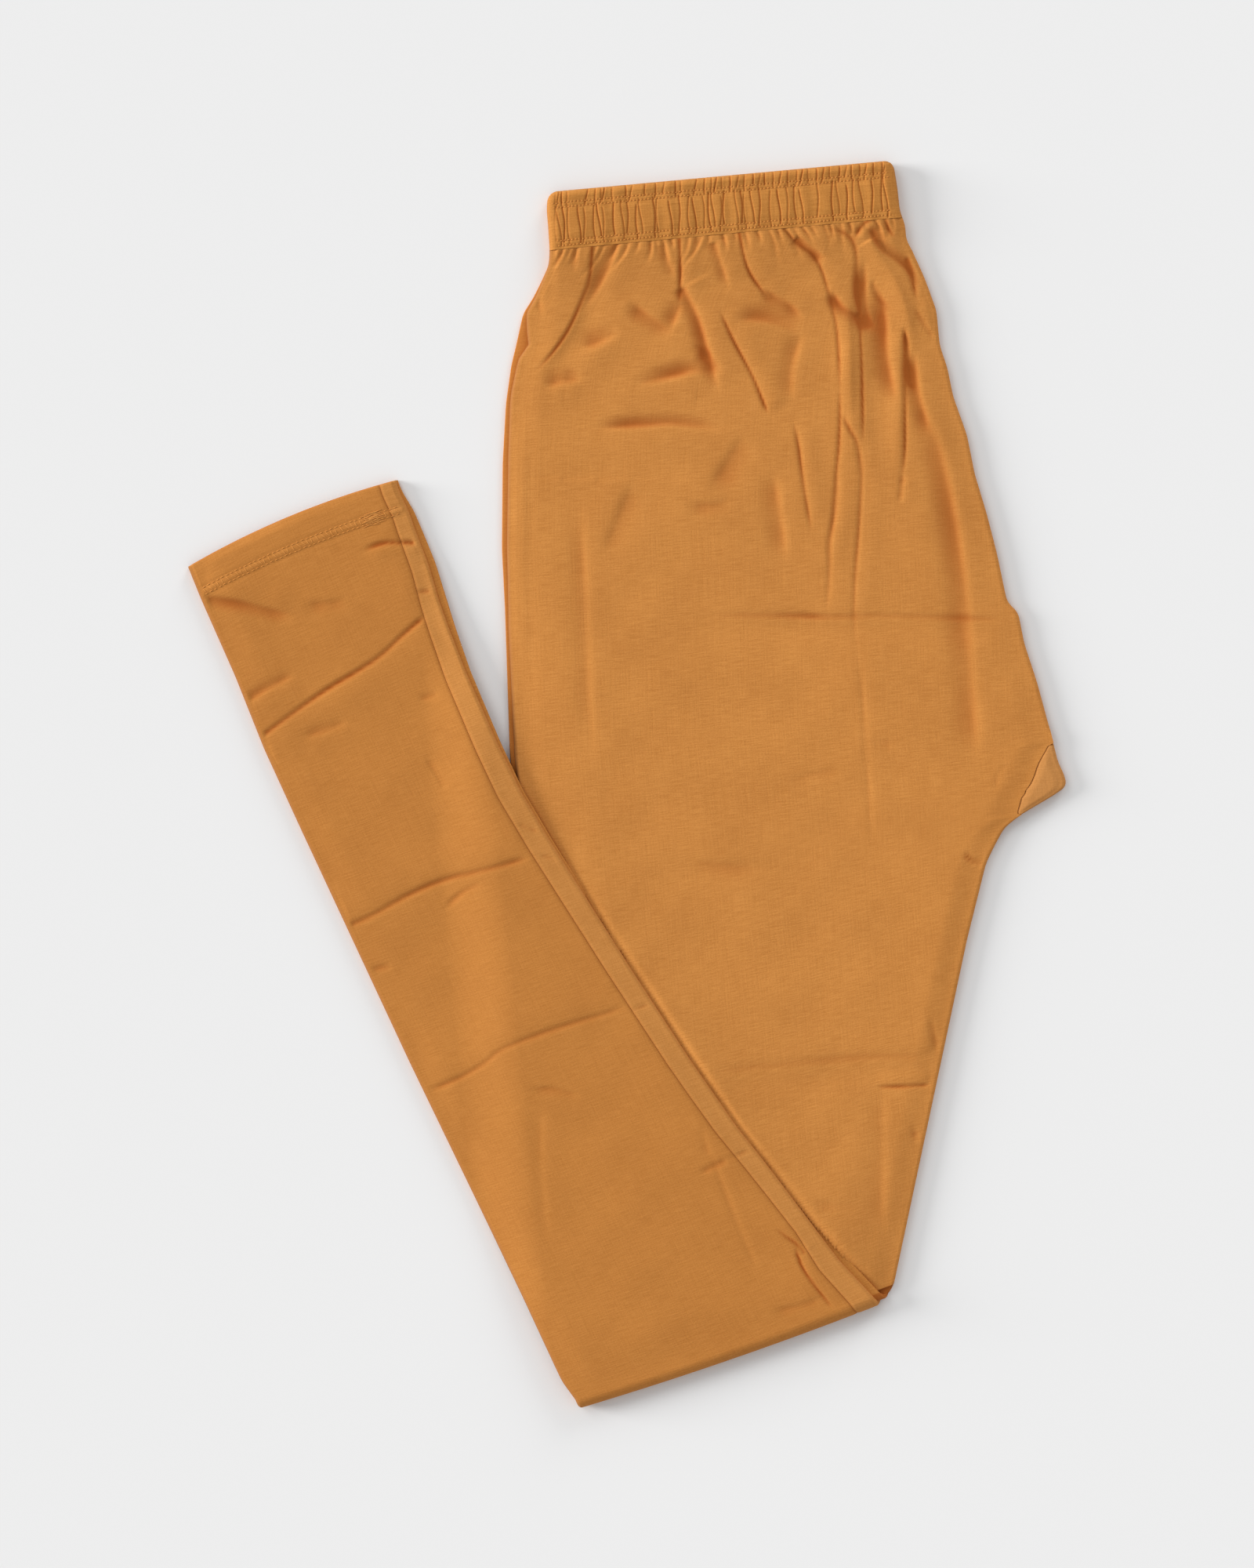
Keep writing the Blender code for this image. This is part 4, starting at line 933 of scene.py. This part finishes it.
def hidden_cloth():
    """All the layers under the visible ones, once round each row, from the waist to the hem."""
    wall = WAISTBAND_CLOTH + CLEARANCE
    ends = np.concatenate((LAYER_END, np.array(WAIST_LAYER_END) + np.array((wall, 0.0))))
    flat = np.arange(wall + LAYER_STEP, HIP_LENGTH, LAYER_STEP)
    station = np.concatenate((ends[:, 0], flat))[:, None]
    share = np.concatenate((ends[:, 1], np.ones(len(flat))))[:, None]
    row = hip_row(station)
    stack = stack_at(station)
    cover = np.where(station < WAISTBAND_DEPTH, WAISTBAND_CLOTH, CLOTH)
    left = layer_side(stack, cover, lookup(HIP_PEEP, row.left_y), share)
    right = layer_side(stack, cover, 0.0, share)
    across, depth = ring_columns(row, left, right)
    points = hip_points(station, across, depth)[:3]
    hip = layer_grid(row, across, points, FOLD_HOLLOW_SHADE * (station > HIP_LENGTH - HOLLOW_LENGTH))

    turn = np.arange(TURN_STEP - 90.0, 90.0, TURN_STEP)[:, None]
    row = fold_row(turn)
    share = np.minimum((turn + 90.0) / (PANEL_FOLD_START + 90.0), 1.0)
    lower = layer_side(STACK, CLOTH, 0.0 * turn)
    sides = []
    for setback in (0.0, SHIN_EDGE[0][1]):
        upper = turned_side(setback + 0.0 * turn)
        sides.append([blend(low, high, share) for low, high in zip(lower, upper)])
    across, depth = ring_columns(row, *sides)
    fold = layer_grid(row, across, place(row, across, depth), FOLD_HOLLOW_SHADE)

    flat = np.arange(0.0, SHIN_LENGTH - 3.0, LAYER_STEP)
    ends = np.array((*HEM_LAYER_END, *LAYER_END[::-1]))
    station = np.concatenate((flat, SHIN_LENGTH - ends[:, 0]))[:, None]
    share = np.concatenate((np.ones(len(flat)), ends[:, 1]))[:, None]
    row = shin_row(station)
    peep, _, _ = shin_columns(row, station)
    across, depth = ring_columns(row, turned_side(0.0 * peep, share), turned_side(peep, share))
    shin = layer_grid(row, across, place(row, across, depth))
    return Cloth(*[np.concatenate(columns) for columns in zip(hip, fold, shin)]), None


def ring_columns(row, left, right):
    """Places and depths round a stack: up its left side, over it, down its right side and back."""
    rings = []
    for up, down in ((left[0], width_of(row) - right[0]), (left[1], right[1])):
        over = inner_places(up[:, -1:], down[:, -1:], LAYER_COLUMNS)
        under = inner_places(down[:, :1], up[:, :1], LAYER_COLUMNS)
        rings.append(np.concatenate((up, over, down[:, ::-1], under), axis=1))
    return rings


def layer_grid(row, across, points, hollow_shade=0.0):
    """Cloth through the rings, with shade painted on it, more under the walls that cover it and in a hollow
    at its right.
    """
    x, y, z = points
    inside = np.minimum(across, width_of(row) - across)
    far_side = across > width_of(row) / 2
    under = smooth((inside - 1.0) / 1.2) * (inside < 12.0)
    far_shade = 0.5 * FAR_EDGE_SHADE + hollow_shade + FAR_UNDER_SHADE * under
    crevice = np.where(far_side, far_shade, LAYER_SHADE + UNDER_SHADE * under)
    length = np.cumsum(np.append(0.0, np.hypot(np.diff(x[:, 0]), np.diff(y[:, 0]))))
    return Cloth(x, y, z, across, np.broadcast_to(length[:, None], x.shape), crevice)


def make_mesh(name, points, faces):
    """Mesh through points in millimetres, smooth shaded, with its faces turned outward."""
    co = (points - np.array([MIDDLE_X, MIDDLE_Y, 0.0])) * METRES_PER_MM
    corners = co[faces]
    centres = corners.mean(axis=1)
    normals = np.cross(corners[:, 2] - corners[:, 0], corners[:, 3] - corners[:, 1])
    inside = np.append(co[:, :2].mean(axis=0), 0.0)
    if (normals * (centres - inside)).sum() < 0.0:
        faces = faces[:, ::-1]
    mesh = bpy.data.meshes.new(name)
    mesh.vertices.add(len(co))
    mesh.vertices.foreach_set("co", co.ravel())
    mesh.loops.add(faces.size)
    mesh.loops.foreach_set("vertex_index", faces.ravel())
    mesh.polygons.add(len(faces))
    mesh.polygons.foreach_set("loop_start", np.arange(0, faces.size, 4))
    mesh.update(calc_edges=True)
    mesh.validate()
    mesh.shade_smooth()
    mesh.set_sharp_from_angle(angle=math.radians(SHARP_ANGLE))
    return mesh, faces


def grid_faces(number):
    """Faces between neighbours in a grid of point numbers, or in several grids."""
    corners = (number[..., :-1, :-1], number[..., :-1, 1:], number[..., 1:, 1:], number[..., 1:, :-1])
    return np.stack(corners, axis=-1).reshape(-1, 4)


def add_object(name, mesh, material):
    mesh.materials.append(material)
    thing = bpy.data.objects.new(name, mesh)
    bpy.context.scene.collection.objects.link(thing)
    return thing


def make_piece(name, node, cloth, covered, material, ring=False):
    """Piece of cloth from its grid, without the faces that other layers cover."""
    number = np.arange(cloth.x.size).reshape(cloth.x.shape)
    if ring:
        number = np.concatenate((number, number[:, :1]), axis=1)
    faces = grid_faces(number)
    if covered is not None:
        faces = faces[~covered.ravel()[faces].all(axis=1)]
    if ring:
        faces = np.concatenate((faces, ring_caps(number)))
    used, faces = np.unique(faces, return_inverse=True)
    faces = faces.reshape(-1, 4)
    points = np.stack((cloth.x, cloth.y, cloth.z), axis=-1).reshape(-1, 3)[used]
    mesh, faces = make_mesh(name, points, faces)
    places = np.stack((cloth.u, cloth.v), axis=-1).reshape(-1, 2)[used] * METRES_PER_MM
    layer = mesh.uv_layers.new(name="courses")
    layer.data.foreach_set("uv", places[faces.ravel()].ravel())
    # The shade painted on the cloth goes to its material as an attribute.
    crevice = mesh.attributes.new("crevice", "FLOAT", "POINT")
    crevice.data.foreach_set("value", np.clip(cloth.crevice.ravel()[used], -1.0, 1.0))
    thing = add_object(name, mesh, material)
    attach(thing, "root")
    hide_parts(node)
    return thing


def ring_caps(number):
    """Faces that close the first and the last ring."""
    caps = []
    for ring in (number[0, :-1], number[-1, :-1]):
        half = len(ring) // 2
        near, far = ring[:half], ring[half:][::-1]
        count = min(len(near), len(far))
        for step in range(count - 1):
            caps.append((near[step], near[step + 1], far[step + 1], far[step]))
    return np.array(caps)


def make_threads(name, starts, ends, material, node):
    """Short stitches between pairs of points on the cloth, each arched a little above it."""
    starts = np.concatenate(starts)
    ends = np.concatenate(ends)
    share, radius, rise = np.array(STITCH_SHAPE).T
    angle = np.linspace(0.0, 2.0 * math.pi, STITCH_SIDES, endpoint=False)
    run = ends - starts
    run = run / np.linalg.norm(run, axis=1, keepdims=True)
    beside = np.stack((-run[:, 1], run[:, 0], 0.0 * run[:, 0]), axis=1)
    upward = np.array([0.0, 0.0, 1.0])
    spine = starts[:, None] + (ends - starts)[:, None] * share[None, :, None]
    spine = spine + THREAD_RADIUS * rise[None, :, None] * upward
    around = beside[:, None, None] * np.cos(angle)[None, None, :, None]
    around = around + upward * np.sin(angle)[None, None, :, None]
    points = spine[:, :, None] + around * THREAD_RADIUS * radius[None, :, None, None]
    number = np.arange(points.size // 3).reshape(points.shape[:3])
    number = np.concatenate((number, number[:, :, :1]), axis=2)
    mesh, _ = make_mesh(name, points.reshape(-1, 3), grid_faces(number))
    thing = add_object(name, mesh, material)
    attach(thing, "root")
    return thing


def points_on(surface, station, across):
    """Points of a surface at places across one row, or at a station for each."""
    x, y, z, _ = surface(station + 0.0 * across, across)
    return np.stack((x, y, z), axis=1)


def row_of_stitches(surface, station, first, last, pitch, length):
    """Starts and ends of a row of stitches across a piece, a little uneven."""
    number = np.arange(int((last - first) / pitch))
    start = first + pitch * number + STITCH_WANDER * np.sin(2.7 * number)
    spot = station + STITCH_WANDER * np.sin(1.9 * number)
    return points_on(surface, spot, start), points_on(surface, spot, start + length)


def band_stitches(material):
    """Four rows of stitching along the waistband."""
    rows = []
    for number, spot in enumerate(BAND_STITCH_ROWS):
        start = stitch_start(number)
        rows.append(row_of_stitches(band_at, spot, start, 180.0, BAND_STITCH_PITCH, BAND_STITCH_LENGTH))
    return make_threads("waistband_stitches", *zip(*rows), material, "waistband")


def hem_stitches(material):
    """Coverstitch at the ankle hem: two rows, the threads between them, and a mended patch."""
    first = 3.0
    last = float(width_of(shin_row(np.array(SHIN_LENGTH - 16.0)))) - 4.0
    rows = []
    for spot in HEM_STITCH_ROWS:
        station = SHIN_LENGTH - spot
        rows.append(row_of_stitches(shin_at, station, first, last, HEM_STITCH_PITCH, HEM_STITCH_LENGTH))
    number = np.arange(int((last - first) / HEM_STITCH_PITCH))
    across = HEM_STITCH_PITCH * number
    outer, inner = HEM_STITCH_ROWS
    rows.append((
        points_on(shin_at, SHIN_LENGTH - (outer + 0.4), first + across),
        points_on(shin_at, SHIN_LENGTH - (inner - 0.4), 4.3 + across + 1.2 * np.sin(1.3 * number)),
    ))
    number = np.arange(PATCH_STITCHES)
    station = SHIN_LENGTH - 13.0 - 0.24 * number
    across = last - 17.0 + 3.0 * np.sin(2.4 * number)
    tilt = 0.8 * np.sin(1.7 * number) / 6.0
    rows.append([points_on(shin_at, station + tilt * shift, across + shift) for shift in (-4.0, 4.5)])
    return make_threads("hem_stitches", *zip(*rows), material, "shin_panel")


def set_inputs(node, values):
    for name, value in values.items():
        node.inputs[name].default_value = value


def new_material(name, values):
    """Material with fixed values on its shader's sockets."""
    material = bpy.data.materials.new(name)
    material.use_nodes = True
    tree = material.node_tree
    shader = tree.nodes["Principled BSDF"]
    set_inputs(shader, values)
    return material, tree, shader


def stretched_noise(tree, places, size_across, size_along, detail, seed):
    """Noise drawn out across or along the leg, with grains of a size in millimetres."""
    mapping = tree.nodes.new("ShaderNodeMapping")
    scales = (1.0 / (size_across * METRES_PER_MM), 1.0 / (size_along * METRES_PER_MM), 1.0)
    set_inputs(mapping, {"Location": (seed, 2.3 * seed, 0.0), "Scale": scales})
    noise = tree.nodes.new("ShaderNodeTexNoise")
    set_inputs(noise, {"Scale": 1.0, "Detail": detail})
    tree.links.new(places, mapping.inputs["Vector"])
    tree.links.new(mapping.outputs["Vector"], noise.inputs["Vector"])
    return noise.outputs["Fac"]


def mixed(tree, share, first, second):
    """Colour between two, each a socket or a fixed colour, by a share."""
    mix = tree.nodes.new("ShaderNodeMix")
    mix.data_type = "RGBA"
    tree.links.new(share, mix.inputs["Factor"])
    for socket, value in ((mix.inputs[6], first), (mix.inputs[7], second)):
        if isinstance(value, tuple):
            socket.default_value = (*value, 1.0)
        else:
            tree.links.new(value, socket)
    return mix.outputs[2]


def ranged(tree, value, low, high, start=0.0, end=1.0):
    """Value from a low to a high, spread over a start to an end."""
    spread = tree.nodes.new("ShaderNodeMapRange")
    tree.links.new(value, spread.inputs["Value"])
    set_inputs(spread, {"From Min": low, "From Max": high, "To Min": start, "To Max": end})
    return spread.outputs["Result"]


def summed(tree, first, second, share):
    """First value plus a share of the second."""
    add = tree.nodes.new("ShaderNodeMath")
    add.operation = "MULTIPLY_ADD"
    tree.links.new(second, add.inputs[0])
    add.inputs[1].default_value = share
    tree.links.new(first, add.inputs[2])
    return add.outputs["Value"]


def jersey(name, light, dark, seed):
    """Cotton jersey: slub streaks along its courses, faint wales and a soft nap, with darker, redder shade
    painted in creases and brown shade on rims.
    """
    material, tree, shader = new_material(name, {
        "Specular IOR Level": 0.15, "Sheen Weight": 0.06, "Sheen Roughness": 0.55,
        "Sheen Tint": (1.0, 0.72, 0.45, 1.0),
    })
    places = tree.nodes.new("ShaderNodeUVMap")
    places.uv_map = "courses"
    places = places.outputs["UV"]
    streaks = stretched_noise(tree, places, 9.0, 0.6, 3.0, seed)
    wales = stretched_noise(tree, places, 0.8, 22.0, 2.0, seed + 3.0)
    clouds = stretched_noise(tree, places, 34.0, 28.0, 3.0, seed + 7.0)
    nap = stretched_noise(tree, places, 0.9, 0.6, 2.0, seed + 11.0)
    tone = summed(tree, summed(tree, summed(tree, streaks, wales, 0.35), clouds, 0.45), nap, 0.8)
    colour = mixed(tree, ranged(tree, tone, 1.05, 1.55), dark, light)
    crevice = tree.nodes.new("ShaderNodeAttribute")
    crevice.attribute_name = "crevice"
    # Painted shade: above nothing the attribute darkens and reddens the colour, below nothing it browns it.
    depth = ranged(tree, crevice.outputs["Fac"], 0.08, 0.85, 0.0, 0.8)
    rim_shade = ranged(tree, crevice.outputs["Fac"], 0.0, -1.0)
    colour = mixed(tree, rim_shade, mixed(tree, depth, colour, PAINTED_CREASE_SHADE), PAINTED_RIM_SHADE)
    tree.links.new(colour, shader.inputs["Base Color"])
    tree.links.new(ranged(tree, clouds, 0.3, 0.7, 0.8, 0.92), shader.inputs["Roughness"])
    bump = tree.nodes.new("ShaderNodeBump")
    set_inputs(bump, {"Strength": 0.45, "Distance": 0.0002})
    knit = summed(tree, summed(tree, streaks, wales, 0.8), nap, 0.7)
    tree.links.new(knit, bump.inputs["Height"])
    tree.links.new(bump.outputs["Normal"], shader.inputs["Normal"])
    return material


def add_floor():
    """Plain pale floor under the garment."""
    half = 4.0
    level = -0.0002
    corners = [(-half, -half, level), (half, -half, level), (half, half, level), (-half, half, level)]
    mesh = bpy.data.meshes.new("floor")
    mesh.from_pydata([Vector(corner) for corner in corners], [], [(0, 1, 2, 3)])
    material, _, _ = new_material("floor", {
        "Base Color": (0.86, 0.86, 0.86, 1.0), "Roughness": 0.9, "Specular IOR Level": 0.0,
    })
    add_object("floor", mesh, material)


def add_lights():
    """Soft light all round, two wide ones from the left and a weak one from the upper right."""
    world = bpy.data.worlds.new("studio")
    world.use_nodes = True
    background = world.node_tree.nodes["Background"]
    set_inputs(background, {"Color": (1.0, 1.0, 1.0, 1.0), "Strength": WORLD_LIGHT})
    bpy.context.scene.world = world
    for name, energy, spread, elevation, heading in LIGHTS:
        sun = bpy.data.lights.new(name, "SUN")
        sun.energy = energy
        sun.angle = math.radians(spread)
        lamp = bpy.data.objects.new(name, sun)
        height = math.radians(elevation)
        turn = math.radians(heading)
        level = math.cos(height)
        toward = Vector((level * math.cos(turn), level * math.sin(turn), math.sin(height)))
        lamp.rotation_euler = toward.to_track_quat("Z", "Y").to_euler()
        bpy.context.scene.collection.objects.link(lamp)


def add_camera():
    """Camera straight above the middle of the photographed field."""
    data = bpy.data.cameras.new("camera")
    data.sensor_fit = "VERTICAL"
    data.sensor_height = 24.0
    data.lens = data.sensor_height * CAMERA_HEIGHT / FIELD_HEIGHT
    camera = bpy.data.objects.new("camera", data)
    camera.location = (-MIDDLE_X * METRES_PER_MM, -MIDDLE_Y * METRES_PER_MM, CAMERA_HEIGHT)
    bpy.context.scene.collection.objects.link(camera)
    bpy.context.scene.camera = camera


hidden_layers = make_piece(
    "hidden_layers_cloth", "hidden_layers", *hidden_cloth(),
    jersey("hidden jersey", (0.6, 0.24, 0.05), (0.485, 0.178, 0.032), 1.0), ring=True,
)
waistband = make_piece(
    "waistband_cloth", "waistband", *band_cloth(),
    jersey("waistband jersey", (0.59, 0.245, 0.052), (0.47, 0.18, 0.033), 5.0),
)
thigh_panel = make_piece(
    "thigh_cloth", "thigh_panel", *thigh_cloth(),
    jersey("thigh jersey", (0.645, 0.266, 0.061), (0.515, 0.197, 0.039), 2.0),
)
crotch_gusset = make_piece(
    "gusset_cloth", "crotch_gusset", *gusset_cloth(),
    jersey("gusset jersey", (0.595, 0.262, 0.074), (0.49, 0.207, 0.053), 8.0),
)
shin_panel = make_piece(
    "shin_cloth", "shin_panel", *shin_cloth(),
    jersey("shin jersey", (0.565, 0.224, 0.048), (0.472, 0.177, 0.033), 3.0),
)
shin_inseam_strip = make_piece(
    "inseam_strip_cloth", "shin_inseam_strip", *strip_cloth(),
    jersey("strip jersey", (0.6, 0.252, 0.062), (0.495, 0.198, 0.042), 6.0),
)
thread, _, _ = new_material(
    "thread",
    {"Base Color": (0.62, 0.265, 0.062, 1.0), "Roughness": 0.8, "Specular IOR Level": 0.15},
)
waistband_threads = band_stitches(thread)
hem_threads = hem_stitches(thread)

add_floor()
add_lights()
add_camera()
bpy.context.scene.view_settings.view_transform = "Standard"
